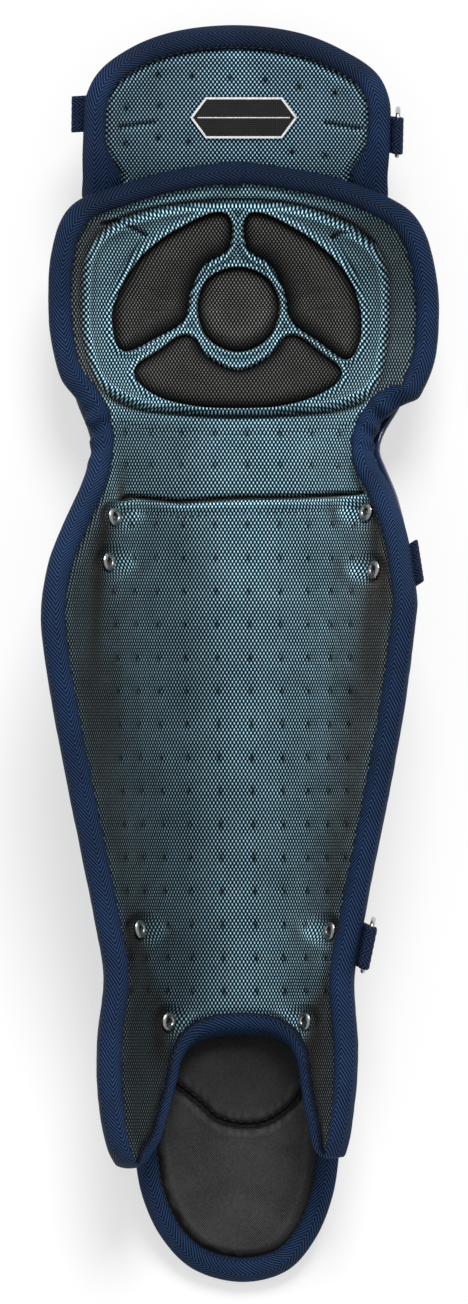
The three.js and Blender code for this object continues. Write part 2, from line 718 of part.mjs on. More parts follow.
// A padded panel: a thick field, and round it a thin tongue that fills the tape's fold
function paddedPanel(trough, stations, thick, relief = (flat) => flat, reliefLevels = []) {
  const fieldEdge = insetOutline(stations, (s) => coverAt(s) + TAPE_GAP);
  const tongueEdge = insetOutline(stations, () => TAPE_THICK + TAPE_GAP);
  const field = plate(trough, fieldEdge, -thick, 0);
  const tongue = plate(trough, tongueEdge, TONGUE_SINK - thick, -TONGUE_SINK);
  const levels = [0, -thick, -TONGUE_SINK, TONGUE_SINK - thick, ...reliefLevels];
  return toSolid(bend(relief(field.add(tongue)), trough, levels));
}

// The tape: a fold round the panel's edge
function tape(trough, stations, thick, trim = (flat) => flat) {
  const high = -TAPE_RECESS;
  const low = TAPE_RECESS - thick;
  const levels = [high, high - TAPE_THICK, low + TAPE_THICK, low];
  const whole = plate(trough, insetOutline(stations, () => 0), low, high);
  const band = whole.subtract(prism(insetOutline(stations, coverAt)));
  const slot = plate(trough, insetOutline(stations, () => TAPE_THICK), levels[2], levels[1]);
  return toSolid(bend(trim(band.subtract(slot)), trough, levels));
}

// A hard shell between two levels below the inner face
function shell(trough, rows, high, sink) {
  const outline = insetOutline(edgeStations(rows), () => 0);
  const flat = plate(trough, outline, high - SHELL_THICK, high);
  return toSolid(bend(flat, trough, [high, high - SHELL_THICK], sink));
}

// A round cutter along a rivet's axis
function bore(at, axis, radius, from, to) {
  const geometry = new THREE.CylinderGeometry(radius, radius, to - from, 8);
  geometry.translate(0, (from + to) / 2, 0);
  geometry.applyQuaternion(new THREE.Quaternion().setFromUnitVectors(new THREE.Vector3(0, 1, 0), axis));
  geometry.translate(at.x, at.y, at.z);
  return toSolid(geometry);
}

// Colours and finishes
function finish(color, roughness, metalness = 0) {
  return new THREE.MeshStandardMaterial({ color, roughness, metalness });
}
const group = new THREE.Group();
function addPiece(name, geometry, material) {
  const mesh = new THREE.Mesh(geometry, material);
  mesh.name = name;
  group.add(mesh);
}

// How far the knee cap's inner face lies below the other shells' level
const capSink = (y) => stationValue(CAP_STATIONS, 'sink', y) * (SHELL_THICK + SEAT_GAP);

// Where each rivet sits: on the liner's inner face, square to it. depth is how far down its outer head is.
function footUnderside(at, axis) {
  let h = -SHELL_STACK;
  let above = 1;
  while (above > 0) {
    h -= 0.05;
    const p = at.clone().addScaledVector(axis, h);
    above = (p.z - foot.point(p.x, p.y, 0).z) * foot.normal(p.x, p.y).z + FOOT_PAD_THICK;
  }
  return -h;
}
const seats = RIVETS.map((r) => {
  const x = r.x * HALF_WIDTH;
  const y = r.y * GUARD_LENGTH;
  const at = leg.point(x, y, 0);
  const axis = leg.normal(x, y);
  const depths = {
    cap: () => SHELL_STACK + capSink(y),
    shin: () => SHELL_STACK,
    foot: () => footUnderside(at, axis),
  };
  return { ...r, at, axis, depth: depths[r.through]() };
});
function boredFor(solid) {
  return seats.reduce((s, r) => s.subtract(
    bore(r.at, r.axis, RIVET_SHANK_R + RIVET_CLEAR, -3 * SHELL_STACK, SHELL_STACK),
  ), solid);
}

// Leg liner and its tape
const legEdge = withRoom(edgeStations(LEG_OUTLINE));
const cushionEdge = insetOutline(edgeStations(CUSHION_OUTLINE, 22), () => 0);
const waistEdge = insetOutline(edgeStations(WAIST_OUTLINE, 22), () => 0);
const legRelief = (flat) => flat
  .subtract(plate(leg, waistEdge, -WAIST_DEPTH, LINER_THICK))
  .add(plate(leg, cushionEdge, -LINER_THICK / 2, CUSHION_RISE));
const legPanel = paddedPanel(leg, legEdge, LINER_THICK, legRelief, [-WAIST_DEPTH, CUSHION_RISE]);
const legLiner = seats.reduce(
  (s, r) => s.subtract(bore(r.at, r.axis, RIVET_HEAD_R + RIVET_CLEAR, -RIVET_SINK, SHELL_STACK)),
  boredFor(legPanel),
);
addPiece('leg_liner', toGeometry(legLiner), finish(0x2f6470, 0.95));

// Gathers: short folds across the tape's outer edge, on each side of the waist
const fineEdge = edgeStations(LEG_OUTLINE, 2);
const gathers = [-1, 1].flatMap((side) => Array.from({ length: GATHER_FOLDS }, (_, k) => {
  const y = WAIST_Y * GUARD_LENGTH + (k - (GATHER_FOLDS - 1) / 2) * GATHER_PITCH;
  const s = fineEdge.filter((e) => Math.sign(e.x) === side)
    .reduce((a, b) => (Math.abs(b.y - y) < Math.abs(a.y - y) ? b : a));
  const along = new THREE.Vector2(-s.inward.y, s.inward.x).multiplyScalar(GATHER_WIDTH);
  const at = (w, t) => new THREE.Vector2(s.x, s.y).addScaledVector(s.inward, w).addScaledVector(along, t);
  return prism([at(-GATHER_WIDTH, -1), at(-GATHER_WIDTH, 1), at(0, 0.5), at(GATHER_DEPTH, 0), at(0, -0.5)]);
}));
const gathered = (flat) => gathers.reduce((band, fold) => band.subtract(fold), flat);
const legTape = boredFor(tape(leg, legEdge, LINER_THICK, gathered));
addPiece('leg_binding', toGeometry(legTape), finish(0x16264d, 0.8));

// Thigh pad
const thighEdge = withRoom(edgeStations(THIGH_OUTLINE, 26));
addPiece('thigh_liner', toGeometry(paddedPanel(thigh, thighEdge, THIGH_PAD_THICK)), finish(0x2f6470, 0.95));
addPiece('thigh_binding', toGeometry(tape(thigh, thighEdge, THIGH_PAD_THICK)), finish(0x16264d, 0.8));

// Foot flap
const footEdge = withRoom(edgeStations(FOOT_OUTLINE, 24));
const seamPoints = FOOT_SEAM.map((r) => new THREE.Vector2(r.x * HALF_WIDTH, r.y * GUARD_LENGTH));
const seamCurve = new THREE.SplineCurve(seamPoints);
const seamSide = (side) => seamCurve.getPoints(2 * FOOT_SEAM.length).map((p, i, all) => {
  const a = all[Math.max(i - 1, 0)];
  const b = all[Math.min(i + 1, all.length - 1)];
  const across = new THREE.Vector2(a.y - b.y, b.x - a.x).setLength((side * FOOT_SEAM_WIDTH) / 2);
  return p.clone().add(across);
});
const seamEdge = [...seamSide(-1), ...seamSide(1).reverse()];
const footRelief = (flat) => flat.subtract(plate(foot, seamEdge, -FOOT_SEAM_DEPTH, FOOT_PAD_THICK));
const footPanel = paddedPanel(foot, footEdge, FOOT_PAD_THICK, footRelief, [-FOOT_SEAM_DEPTH]);
addPiece('foot_liner', toGeometry(boredFor(footPanel)), finish(0x2c2d2f, 0.95));
addPiece('foot_binding', toGeometry(boredFor(tape(foot, footEdge, FOOT_PAD_THICK))), finish(0x16264d, 0.8));

// Knee pads
for (const [name, rows] of Object.entries(PAD_OUTLINES)) {
  const outline = insetOutline(edgeStations(rows, 14), () => 0);
  const low = CUSHION_RISE + PAD_GAP;
  const high = CUSHION_RISE + KNEE_PAD_RISE;
  addPiece(name, bend(plate(leg, outline, low, high), leg, [low, high]), finish(0x303030, 0.95));
}

// Hard shells, each bored for the rivets
const floorCut = toSolid(new THREE.BoxGeometry(DEEP, 2 * DEEP, DEEP).translate(0, 0, -DEEP / 2));
const navyPlastic = () => finish(0x14244a, 0.4);
const shells = [
  { name: 'knee_shell', trough: leg, rows: KNEE_SHELL_OUTLINE, pad: LINER_THICK, sink: capSink },
  { name: 'shin_shell', trough: leg, rows: SHIN_SHELL_OUTLINE, pad: LINER_THICK, sink: noSink },
  { name: 'thigh_shell', trough: thigh, rows: THIGH_SHELL_OUTLINE, pad: THIGH_PAD_THICK, sink: noSink },
  { name: 'foot_shell', trough: foot, rows: FOOT_SHELL_OUTLINE, pad: FOOT_PAD_THICK, sink: noSink },
];
shells.forEach(({ name, trough, rows, pad, sink }) => {
  const solid = boredFor(shell(trough, rows, -pad - SEAT_GAP, sink)).subtract(floorCut);
  addPiece(name, toGeometry(solid), navyPlastic());
});

// Badge patch: a plain stretched hexagon on the thigh pad
const badgeCorners = [[-0.5, 0], [-0.36, -0.5], [0.36, -0.5], [0.5, 0], [0.36, 0.5], [-0.36, 0.5]];
const badgeEdge = badgeCorners.map(([u, v]) => new THREE.Vector2(
  BADGE_AT.x * HALF_WIDTH + u * BADGE_WIDTH,
  BADGE_AT.y * GUARD_LENGTH + v * BADGE_HEIGHT,
));
const badgeLevels = [PAD_GAP, PAD_GAP + BADGE_THICK];
const badge = plate(thigh, badgeEdge, ...badgeLevels);
addPiece('badge_patch', bend(badge, thigh, badgeLevels), finish(0x1b1c1e, 0.5));

// Rivets: a domed head in a dimple of the liner, a shank, and a flat head on the outside
seats.forEach((r) => {
  const under = RIVET_CLEAR - RIVET_SINK;
  const out = -r.depth - RIVET_SEAT;
  const profile = [
    [0, out - RIVET_HEAD_RISE], [RIVET_HEAD_R * 0.7, out - RIVET_HEAD_RISE],
    [RIVET_HEAD_R, out], [RIVET_SHANK_R, out], [RIVET_SHANK_R, under], [RIVET_HEAD_R, under],
    [RIVET_HEAD_R * 0.6, under + RIVET_HEAD_RISE], [0, under + RIVET_HEAD_RISE],
  ];
  const geometry = new THREE.LatheGeometry(profile.map(([x, y]) => new THREE.Vector2(x, y)), 8);
  geometry.applyQuaternion(new THREE.Quaternion().setFromUnitVectors(new THREE.Vector3(0, 1, 0), r.axis));
  geometry.translate(r.at.x, r.at.y, r.at.z);
  addPiece(r.name, toGeometry(toSolid(geometry)), finish(0xb4b4b0, 0.3, 1));
});

// Webbing tabs, folded over and sewn under the tape. Two of them hold a wire ring in their fold.
const EYE_R = WIRE_R + WIRE_CLEAR;
const panels = {
  thigh: { trough: thigh, rows: THIGH_OUTLINE, thick: THIGH_PAD_THICK },
  leg: { trough: leg, rows: LEG_OUTLINE, thick: LINER_THICK },
};
function tabFrame(tab) {
  const { trough, rows, thick } = panels[tab.of];
  const y = tab.y * GUARD_LENGTH;
  const near = edgeStations(rows, 2)
    .filter((s) => Math.sign(s.x) === tab.side)
    .reduce((a, b) => (Math.abs(b.y - y) < Math.abs(a.y - y) ? b : a));
  const level = TAPE_RECESS - thick - TAB_GAP;
  const at = (w) => trough.point(near.x + near.inward.x * w, near.y + near.inward.y * w, level);
  const edge = at(0);
  const tangent = new THREE.Vector2(-near.inward.y, near.inward.x).multiplyScalar(tab.width / 3);
  const beside = (k) => trough.point(near.x + k * tangent.x, near.y + k * tangent.y, level);
  const along = beside(1).sub(beside(-1)).normalize();
  const out = edge.clone().sub(at(TAB_TAIL));
  out.addScaledVector(along, -out.dot(along)).normalize();
  const up = new THREE.Vector3().crossVectors(along, out);
  return new THREE.Matrix4().makeBasis(out, up, along).setPosition(edge);
}
function tabShape(tab) {
  const shape = new THREE.Shape();
  const end = tab.ring ? EYE_R + TAB_PLY : TAB_PLY;
  const eye = tab.reach - end;
  const reachBack = Math.sqrt(end * end - TAB_PLY * TAB_PLY);
  const turn = Math.asin(TAB_PLY / end);
  shape.moveTo(-TAB_TAIL, -2 * TAB_PLY);
  shape.lineTo(eye - reachBack, -2 * TAB_PLY);
  shape.absarc(eye, -TAB_PLY, end, Math.PI + turn, 3 * Math.PI - turn, false);
  shape.lineTo(-TAB_TAIL, 0);
  if (tab.ring) {
    const hole = new THREE.Path();
    hole.absarc(eye, -TAB_PLY, EYE_R, 0, 2 * Math.PI, true);
    shape.holes.push(hole);
  }
  return shape;
}
TABS.forEach((tab) => {
  const frame = tabFrame(tab);
  const options = { depth: tab.width, bevelEnabled: false, curveSegments: 8 };
  const geometry = new THREE.ExtrudeGeometry(tabShape(tab), options);
  geometry.translate(0, 0, -tab.width / 2);
  geometry.applyMatrix4(frame);
  addPiece(tab.name, toGeometry(toSolid(geometry)), finish(0x16264d, 0.8));
  if (!tab.ring) return;
  const half = tab.width / 2 + WIRE_R + WIRE_CLEAR;
  const eye = new THREE.Vector3(tab.reach - EYE_R - TAB_PLY, -TAB_PLY, 0).applyMatrix4(frame);
  const along = new THREE.Vector3().setFromMatrixColumn(frame, 2);
  const down = new THREE.Vector3(0, 0, -1).addScaledVector(along, along.z).normalize();
  const cornerCut = WIRE_R * 1.3;
  const corners = [[-half, 0], [half, 0], [half, RING_DROP], [-half, RING_DROP]];
  const path = corners.flatMap(([u, v], i) => {
    const a = corners[(i + 3) % 4];
    const b = corners[(i + 1) % 4];
    const step = (q) => {
      const l = Math.hypot(q[0] - u, q[1] - v);
      return [u + ((q[0] - u) * cornerCut) / l, v + ((q[1] - v) * cornerCut) / l];
    };
    return [step(a), step(b)];
  });
  const side = new THREE.Vector3().crossVectors(along, down);
  const rings = path.map(([u, v], i) => {
    const a = path[(i + path.length - 1) % path.length];
    const b = path[(i + 1) % path.length];
    const before = new THREE.Vector2(u - a[0], v - a[1]).normalize();
    const after = new THREE.Vector2(b[0] - u, b[1] - v).normalize();
    const way = before.clone().add(after).normalize();
    const mitre = 1 / Math.max(0.5, way.dot(after));
    const across = along.clone().multiplyScalar(-way.y).addScaledVector(down, way.x);
    const centre = eye.clone().addScaledVector(along, u).addScaledVector(down, v);
    return Array.from({ length: 6 }, (_, k) => {
      const turn = (k * Math.PI) / 3;
      return centre.clone()
        .addScaledVector(across, WIRE_R * mitre * Math.cos(turn))
        .addScaledVector(side, WIRE_R * Math.sin(turn));
    });
  });
  addPiece(tab.ring, loft(rings), finish(0xa8a8a8, 0.35, 1));
});

// The origin is the middle of the bounding box, on the floor
const middle = new THREE.Box3().setFromObject(group).getCenter(new THREE.Vector3());
group.children.forEach((mesh) => mesh.geometry.translate(-middle.x, -middle.y, 0));

export default group;
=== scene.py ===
# Baseball catcher leg guard: the look of each piece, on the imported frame.
# The tables repeat the source's shares. Work is in millimetres, and each mesh is written in metres.
import math
import bpy
import numpy as np
from mathutils.geometry import delaunay_2d_cdt
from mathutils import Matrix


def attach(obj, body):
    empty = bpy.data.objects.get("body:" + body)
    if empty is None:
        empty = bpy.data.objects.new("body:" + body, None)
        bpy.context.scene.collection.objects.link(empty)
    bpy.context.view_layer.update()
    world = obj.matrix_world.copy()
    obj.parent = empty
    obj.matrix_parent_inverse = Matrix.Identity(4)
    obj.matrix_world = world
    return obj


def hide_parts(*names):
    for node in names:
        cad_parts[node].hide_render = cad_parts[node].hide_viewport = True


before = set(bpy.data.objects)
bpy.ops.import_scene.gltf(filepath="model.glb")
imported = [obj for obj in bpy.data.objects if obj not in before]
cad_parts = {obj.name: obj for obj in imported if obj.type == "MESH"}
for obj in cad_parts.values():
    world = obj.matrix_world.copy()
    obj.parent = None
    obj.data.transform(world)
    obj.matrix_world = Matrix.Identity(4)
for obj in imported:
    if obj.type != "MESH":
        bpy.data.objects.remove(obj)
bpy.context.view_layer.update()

GUARD_LENGTH = 660.0
HALF_WIDTH = 100.0
FOOT_STACK = 11.8
MIDDLE = np.array([1.2915, 0.0726, 0.0])
LINER_THICK, THIGH_THICK, FOOT_THICK = 9.0, 9.0, 8.0
SHELL_THICK, SEAT_GAP = 3.0, 0.4
TAPE_COVER = 13.0
# A rivet's reach through liner, gap and shell
RIVET_REACH = LINER_THICK + SEAT_GAP + SHELL_THICK
PIXEL_MM, PHOTO_MIDDLE = 0.525, (238, 653.5)
# Values of the painted light tone that paint no light or shade
PLAIN_TONE = [1, 1, 0.5]

# Tables of stations: y, lift, rise, centre, half, full
LEG = np.array([
    [-0.430, 1.08, 0.60, -0.045, 0.63, 1.4], [-0.323, 1.08, 0.68, -0.045, 0.68, 1.4],
    [-0.252, 1.15, 0.68, -0.030, 0.66, 1.4], [-0.195, 1.22, 0.73, -0.030, 0.73, 1.4],
    [-0.117, 1.36, 0.85, -0.030, 0.83, 1.4], [-0.045, 1.48, 0.97, -0.025, 0.93, 1.4],
    [0.030, 1.52, 1.00, -0.025, 0.98, 1.4], [0.076, 1.50, 0.82, -0.025, 0.93, 1.5],
    [0.124, 1.38, 0.56, -0.020, 0.81, 1.7], [0.162, 1.05, 0.42, -0.020, 0.77, 1.9],
    [0.191, 0.62, 0.42, 0.000, 0.86, 2.2], [0.227, 0.18, 0.46, 0.025, 1.00, 2.4],
    [0.274, 0.00, 0.48, 0.030, 1.03, 2.4], [0.318, 0.85, 0.43, 0.020, 0.99, 2.4],
    [0.364, 2.05, 0.34, 0.000, 0.86, 2.3], [0.410, 2.80, 0.28, 0.000, 0.82, 2.2]])
THIGH = np.array([
    [0.340, 1.05, 0.80, 0, 0.84, 2.3], [0.364, 1.775, 0.78, 0, 0.83, 2.3],
    [0.395, 2.50, 0.80, 0, 0.82, 2.2], [0.440, 2.70, 0.90, 0, 0.82, 2.2],
    [0.510, 2.80, 0.88, 0, 0.82, 2.2]])
FOOT = np.array([
    [-0.510, 0.00, 0.30, 0, 0.54, 1.7], [-0.450, 0.00, 0.40, 0, 0.54, 1.7],
    [-0.400, 0.01, 0.56, 0, 0.57, 1.5], [-0.360, 0.03, 0.76, -0.015, 0.60, 1.4],
    [-0.310, 0.07, 0.98, -0.035, 0.63, 1.4], [-0.240, 0.12, 1.00, -0.035, 0.63, 1.4]])
CAP = np.array([[0.085, 1.00], [0.150, 1.06], [0.190, 0.90], [0.235, 0.20], [0.274, 0.00], [0.370, 0.00]])

# Outlines: x, y and tape
LEG_OUTLINE = np.array([
    [0.010, 0.3914, 1], [-0.305, 0.3862, 1], [-0.620, 0.3735, 1], [-0.830, 0.3608, 1], [-0.925, 0.3440, 1],
    [-0.982, 0.3130, 1], [-0.992, 0.2812, 1], [-0.977, 0.2494, 1], [-0.919, 0.2176, 1], [-0.830, 0.2000, 1],
    [-0.777, 0.1810, 1], [-0.772, 0.1618, 1], [-0.814, 0.1380, 1], [-0.908, 0.1062, 1], [-0.987, 0.0744, 1],
    [-1.024, 0.0330, 1], [-0.984, -0.0211, 1], [-0.929, -0.0688, 1], [-0.824, -0.1483, 1],
    [-0.735, -0.2150, 1], [-0.690, -0.2560, 1], [-0.724, -0.3080, 1], [-0.726, -0.3420, 1],
    [-0.690, -0.3800, 1], [-0.635, -0.4015, 0.9], [-0.541, -0.4110, 0.8], [-0.455, -0.4030, 0.65],
    [-0.400, -0.3900, 0.5], [-0.352, -0.3660, 0.5], [-0.305, -0.3400, 0.5], [-0.275, -0.3230, 0.6],
    [-0.190, -0.3095, 0.85], [0.010, -0.3035, 0.92], [0.205, -0.3085, 0.85], [0.285, -0.3215, 0.6],
    [0.312, -0.3400, 0.5], [0.335, -0.3610, 0.5], [0.370, -0.3850, 0.55], [0.410, -0.3985, 0.65],
    [0.475, -0.4030, 0.8], [0.540, -0.3930, 0.9], [0.588, -0.3600, 1], [0.614, -0.3110, 1],
    [0.595, -0.2590, 1], [0.640, -0.2180, 1], [0.772, -0.1165, 1], [0.850, -0.0529, 1], [0.908, 0.0108, 1],
    [0.929, 0.0426, 1], [0.908, 0.0720, 1], [0.866, 0.1062, 1], [0.782, 0.1380, 1], [0.718, 0.1560, 1],
    [0.722, 0.1760, 1], [0.800, 0.1925, 1], [0.935, 0.2050, 1], [1.020, 0.2290, 1], [1.050, 0.2650, 1],
    [1.040, 0.2971, 1], [0.985, 0.3310, 1], [0.905, 0.3500, 1], [0.787, 0.3625, 1], [0.535, 0.3782, 1],
    [0.325, 0.3852, 1]])
THIGH_OUTLINE = np.array([
    [-0.020, 0.5000, 1], [-0.352, 0.4944, 1], [-0.572, 0.4817, 1], [-0.735, 0.4626, 1], [-0.803, 0.4400, 1],
    [-0.812, 0.4150, 1], [-0.819, 0.3800, 1], [-0.800, 0.3560, 1], [-0.680, 0.3460, 1], [-0.300, 0.3440, 1],
    [0.300, 0.3440, 1], [0.650, 0.3460, 1], [0.768, 0.3560, 1], [0.790, 0.3800, 1], [0.798, 0.4150, 1],
    [0.795, 0.4400, 1], [0.725, 0.4626, 1], [0.536, 0.4817, 1], [0.310, 0.4944, 1]])
FOOT_OUTLINE = np.array([
    [0.026, -0.5000, 1], [0.260, -0.4910, 1], [0.405, -0.4670, 1], [0.494, -0.4347, 1], [0.530, -0.4029, 1],
    [0.535, -0.3600, 1], [0.580, -0.3150, 1], [0.560, -0.2850, 1], [0.440, -0.2720, 1], [-0.020, -0.2690, 1],
    [-0.480, -0.2720, 1], [-0.600, -0.2850, 1], [-0.620, -0.3150, 1], [-0.555, -0.3600, 1],
    [-0.542, -0.4000, 1], [-0.499, -0.4347, 1], [-0.400, -0.4660, 1], [-0.235, -0.4900, 1]])
CUSHION = np.array([
    [0.010, 0.3583], [-0.400, 0.3530], [-0.672, 0.3385], [-0.780, 0.3180], [-0.809, 0.2850],
    [-0.798, 0.2494], [-0.720, 0.2150], [-0.560, 0.1985], [-0.250, 0.1920], [0.010, 0.1905],
    [0.280, 0.1920], [0.570, 0.1980], [0.710, 0.2110], [0.772, 0.2494], [0.782, 0.2891], [0.735, 0.3180],
    [0.600, 0.3380], [0.326, 0.3540]])
PADS = {
    "knee_pad_upper_left": [
        [-0.068, 0.3500], [-0.305, 0.3385], [-0.515, 0.3145], [-0.630, 0.2850], [-0.656, 0.2650],
        [-0.620, 0.2420], [-0.430, 0.2535], [-0.290, 0.2670], [-0.263, 0.2880], [-0.180, 0.3120],
        [-0.060, 0.3235]],
    "knee_pad_upper_right": [
        [0.063, 0.3500], [0.060, 0.3235], [0.175, 0.3120], [0.262, 0.2860], [0.285, 0.2665], [0.430, 0.2500],
        [0.588, 0.2345], [0.635, 0.2470], [0.640, 0.2732], [0.588, 0.2971], [0.457, 0.3209], [0.247, 0.3420]],
    "knee_pad_lower": [
        [-0.550, 0.2230], [-0.410, 0.2390], [-0.265, 0.2520], [-0.175, 0.2350], [0.000, 0.2230],
        [0.175, 0.2350], [0.275, 0.2520], [0.430, 0.2370], [0.550, 0.2210], [0.450, 0.2080], [0.230, 0.1985],
        [0.010, 0.1965], [-0.245, 0.1985], [-0.460, 0.2080]],
    "knee_pad_center": [
        [0.000, 0.3070], [-0.145, 0.2985], [-0.200, 0.2760], [-0.150, 0.2520], [0.000, 0.2415],
        [0.150, 0.2520], [0.205, 0.2760], [0.145, 0.2985]],
}
SHELLS = {
    "shin_shell": [
        [-0.60, 0.150], [-0.80, 0.110], [-0.86, 0.040], [-0.80, -0.060], [-0.66, -0.180], [-0.55, -0.270],
        [-0.42, -0.305], [-0.20, -0.290], [0.00, -0.284], [0.20, -0.290], [0.40, -0.305], [0.48, -0.270],
        [0.56, -0.180], [0.72, -0.060], [0.80, 0.040], [0.76, 0.110], [0.58, 0.150], [0.00, 0.158]],
    "knee_shell": [
        [-0.40, 0.322], [-0.68, 0.312], [-0.82, 0.292], [-0.84, 0.265], [-0.78, 0.215], [-0.68, 0.175],
        [-0.74, 0.130], [-0.72, 0.098], [-0.48, 0.094], [0.00, 0.088], [0.50, 0.096], [0.76, 0.100],
        [0.76, 0.130], [0.66, 0.175], [0.80, 0.215], [0.88, 0.265], [0.86, 0.292], [0.70, 0.312],
        [0.40, 0.322], [0.00, 0.325]],
    "thigh_shell": [
        [-0.58, 0.376], [0.00, 0.374], [0.56, 0.376], [0.66, 0.392], [0.66, 0.440], [0.48, 0.468],
        [0.00, 0.482], [-0.50, 0.468], [-0.68, 0.440], [-0.68, 0.392]],
    "foot_shell": [
        [-0.34, -0.312], [0.00, -0.306], [0.32, -0.312], [0.43, -0.345], [0.43, -0.410], [0.34, -0.450],
        [0.18, -0.476], [0.02, -0.482], [-0.16, -0.476], [-0.32, -0.450], [-0.43, -0.410], [-0.45, -0.345]],
}
RIVETS = [
    ["rivet_knee_left", -0.630, 0.1094, "cap"], ["rivet_knee_right", 0.655, 0.1133, "cap"],
    ["rivet_shin_left", -0.660, 0.0736, "shin"], ["rivet_shin_right", 0.695, 0.0673, "shin"],
    ["rivet_calf_left", -0.495, -0.2188, "shin"], ["rivet_calf_right", 0.462, -0.2200, "shin"],
    ["rivet_foot_left", -0.347, -0.2930, "foot"], ["rivet_foot_right", 0.332, -0.2925, "foot"],
]
FOOT_SEAM = np.array([
    [-0.320, -0.3440], [-0.200, -0.3583], [-0.115, -0.3700], [0.010, -0.3752], [0.145, -0.3733],
    [0.270, -0.3610], [0.345, -0.3470]])


# Smooth surfaces
def station(table, column, y):
    share = np.atleast_1d(np.asarray(y, float)) / GUARD_LENGTH
    ys, vs = table[:, 0], table[:, column]
    last = len(ys) - 1
    i = np.clip(np.searchsorted(ys, share, side="right") - 1, 0, last - 1)
    before, after = np.maximum(np.arange(last + 1) - 1, 0), np.minimum(np.arange(last + 1) + 1, last)
    slope = (vs[after] - vs[before]) / (ys[after] - ys[before])
    span = ys[i + 1] - ys[i]
    t = np.clip((share - ys[i]) / span, 0, 1)
    return ((1 + 2 * t) * (1 - t) ** 2 * vs[i] + t * (1 - t) ** 2 * span * slope[i]
            + t * t * (3 - 2 * t) * vs[i + 1] + t * t * (t - 1) * span * slope[i + 1])


def unit(v):
    return v / np.linalg.norm(v, axis=-1, keepdims=True)


def lengths(p):
    return np.concatenate([[0], np.cumsum(np.linalg.norm(np.diff(p, axis=0), axis=1))])


# Twice the area inside a loop, above zero where it runs counter-clockwise
def winding(p):
    q = np.roll(p, -1, 0)
    return np.sum(p[:, 0] * q[:, 1] - q[:, 0] * p[:, 1])


# Values of a grid between its points
def sample(m, x, y, x0, y0, step):
    fx = np.clip((x - x0) / step, 0, m.shape[1] - 1.001)
    fy = np.clip((y - y0) / step, 0, m.shape[0] - 1.001)
    i, j = fx.astype(int), fy.astype(int)
    a, b = fx - i, fy - j
    return ((1 - a) * (1 - b) * m[j, i] + a * (1 - b) * m[j, i + 1]
            + (1 - a) * b * m[j + 1, i] + a * b * m[j + 1, i + 1])


class Trough:
    def __init__(self, table, base, depth):
        self.table, self.base, self.depth = table, base, depth

    def height(self, x, y):
        x = np.asarray(x, float)
        at = lambda k: station(self.table, k, y)
        full = at(5)
        q = np.abs(x - at(3) * HALF_WIDTH) / (at(4) * HALF_WIDTH)
        raw = lambda s: s ** (full + 1) / (full + 1) - 0.75 * s ** (full + 4) / (full + 4)
        rise = raw(np.minimum(q, (1 / 0.75) ** (1 / 3))) / raw(np.ones_like(q))
        return self.base + np.maximum(at(1), 0) * FOOT_STACK + at(2) * self.depth * rise

    def normal(self, x, y):
        s = 0.5
        n = np.stack([self.height(x - s, y) - self.height(x + s, y),
                      self.height(x, y - s) - self.height(x, y + s), np.full(np.shape(x), 2 * s)], -1)
        return unit(n)

    def point(self, x, y, h):
        x, y, h = np.broadcast_arrays(*(np.atleast_1d(np.asarray(v, float)) for v in (x, y, h)))
        return np.stack([x, y, self.height(x, y)], -1) + self.normal(x, y) * h[..., None]

    # Lengths along the surface, across from the middle and along it
    def arcs(self, x, y):
        step = 2.0
        if not hasattr(self, "grid"):
            xs = np.arange(-116, 117, step)
            ys = np.arange(self.table[0, 0] * GUARD_LENGTH, self.table[-1, 0] * GUARD_LENGTH + step, step)
            gx, gy = np.meshgrid(xs, ys)
            z = self.height(gx.ravel(), gy.ravel()).reshape(gx.shape)
            across = np.cumsum(np.hypot(step, np.diff(z, axis=1)), 1)
            across = np.concatenate([np.zeros((len(ys), 1)), across], 1)
            across -= across[:, [len(xs) // 2]]
            mid = z[:, len(xs) // 2]
            along = np.concatenate([[0], np.cumsum(np.hypot(step, np.diff(mid)))])
            self.grid = (xs, ys, across, along)
        xs, ys, across, along = self.grid
        return sample(across, x, y, xs[0], ys[0], step), np.interp(y, ys, along)


leg = Trough(LEG, 11.4, 92)
thigh = Trough(THIGH, 3.0, 31)
foot = Trough(FOOT, 10.4, 37)


# Outlines
def curve(rows, step, closed=True):
    p = np.array(rows, float)
    p[:, 0] *= HALF_WIDTH
    p[:, 1] *= GUARD_LENGTH
    n = len(p)
    out = []
    for i in range(n if closed else n - 1):
        q = [p[(i + k - 1) % n] if closed else p[min(max(i + k - 1, 0), n - 1)] for k in range(4)]
        if not closed:
            if i == 0:
                q[0] = 2 * q[1] - q[2]
            if i == n - 2:
                q[3] = 2 * q[2] - q[1]
        d = [max(np.linalg.norm(q[k + 1][:2] - q[k][:2]) ** 0.5, 1e-4) for k in range(3)]
        t1 = ((q[1] - q[0]) / d[0] - (q[2] - q[0]) / (d[0] + d[1]) + (q[2] - q[1]) / d[1]) * d[1]
        t2 = ((q[2] - q[1]) / d[1] - (q[3] - q[1]) / (d[1] + d[2]) + (q[3] - q[2]) / d[2]) * d[1]
        c = [q[1], t1, -3 * q[1] + 3 * q[2] - 2 * t1 - t2, 2 * q[1] - 2 * q[2] + t1 + t2]
        t = np.linspace(0, 1, 40, endpoint=False)[:, None]
        out.append(c[0] + c[1] * t + c[2] * t ** 2 + c[3] * t ** 3)
    fine = np.vstack(out + ([] if closed else [p[-1:]]))
    loop = np.vstack([fine, fine[:1]]) if closed else fine
    s = lengths(loop[:, :2])
    count = max(int(round(s[-1] / step)), 8)
    at = np.linspace(0, s[-1], count, endpoint=not closed)
    return np.stack([np.interp(at, s, loop[:, k]) for k in range(p.shape[1])], -1)


def inward(p):
    a, b = np.roll(p, 1, 0), np.roll(p, -1, 0)
    t = unit((b - a)[:, :2])
    return np.stack([-t[:, 1], t[:, 0]], -1) * (1 if winding(p) > 0 else -1)


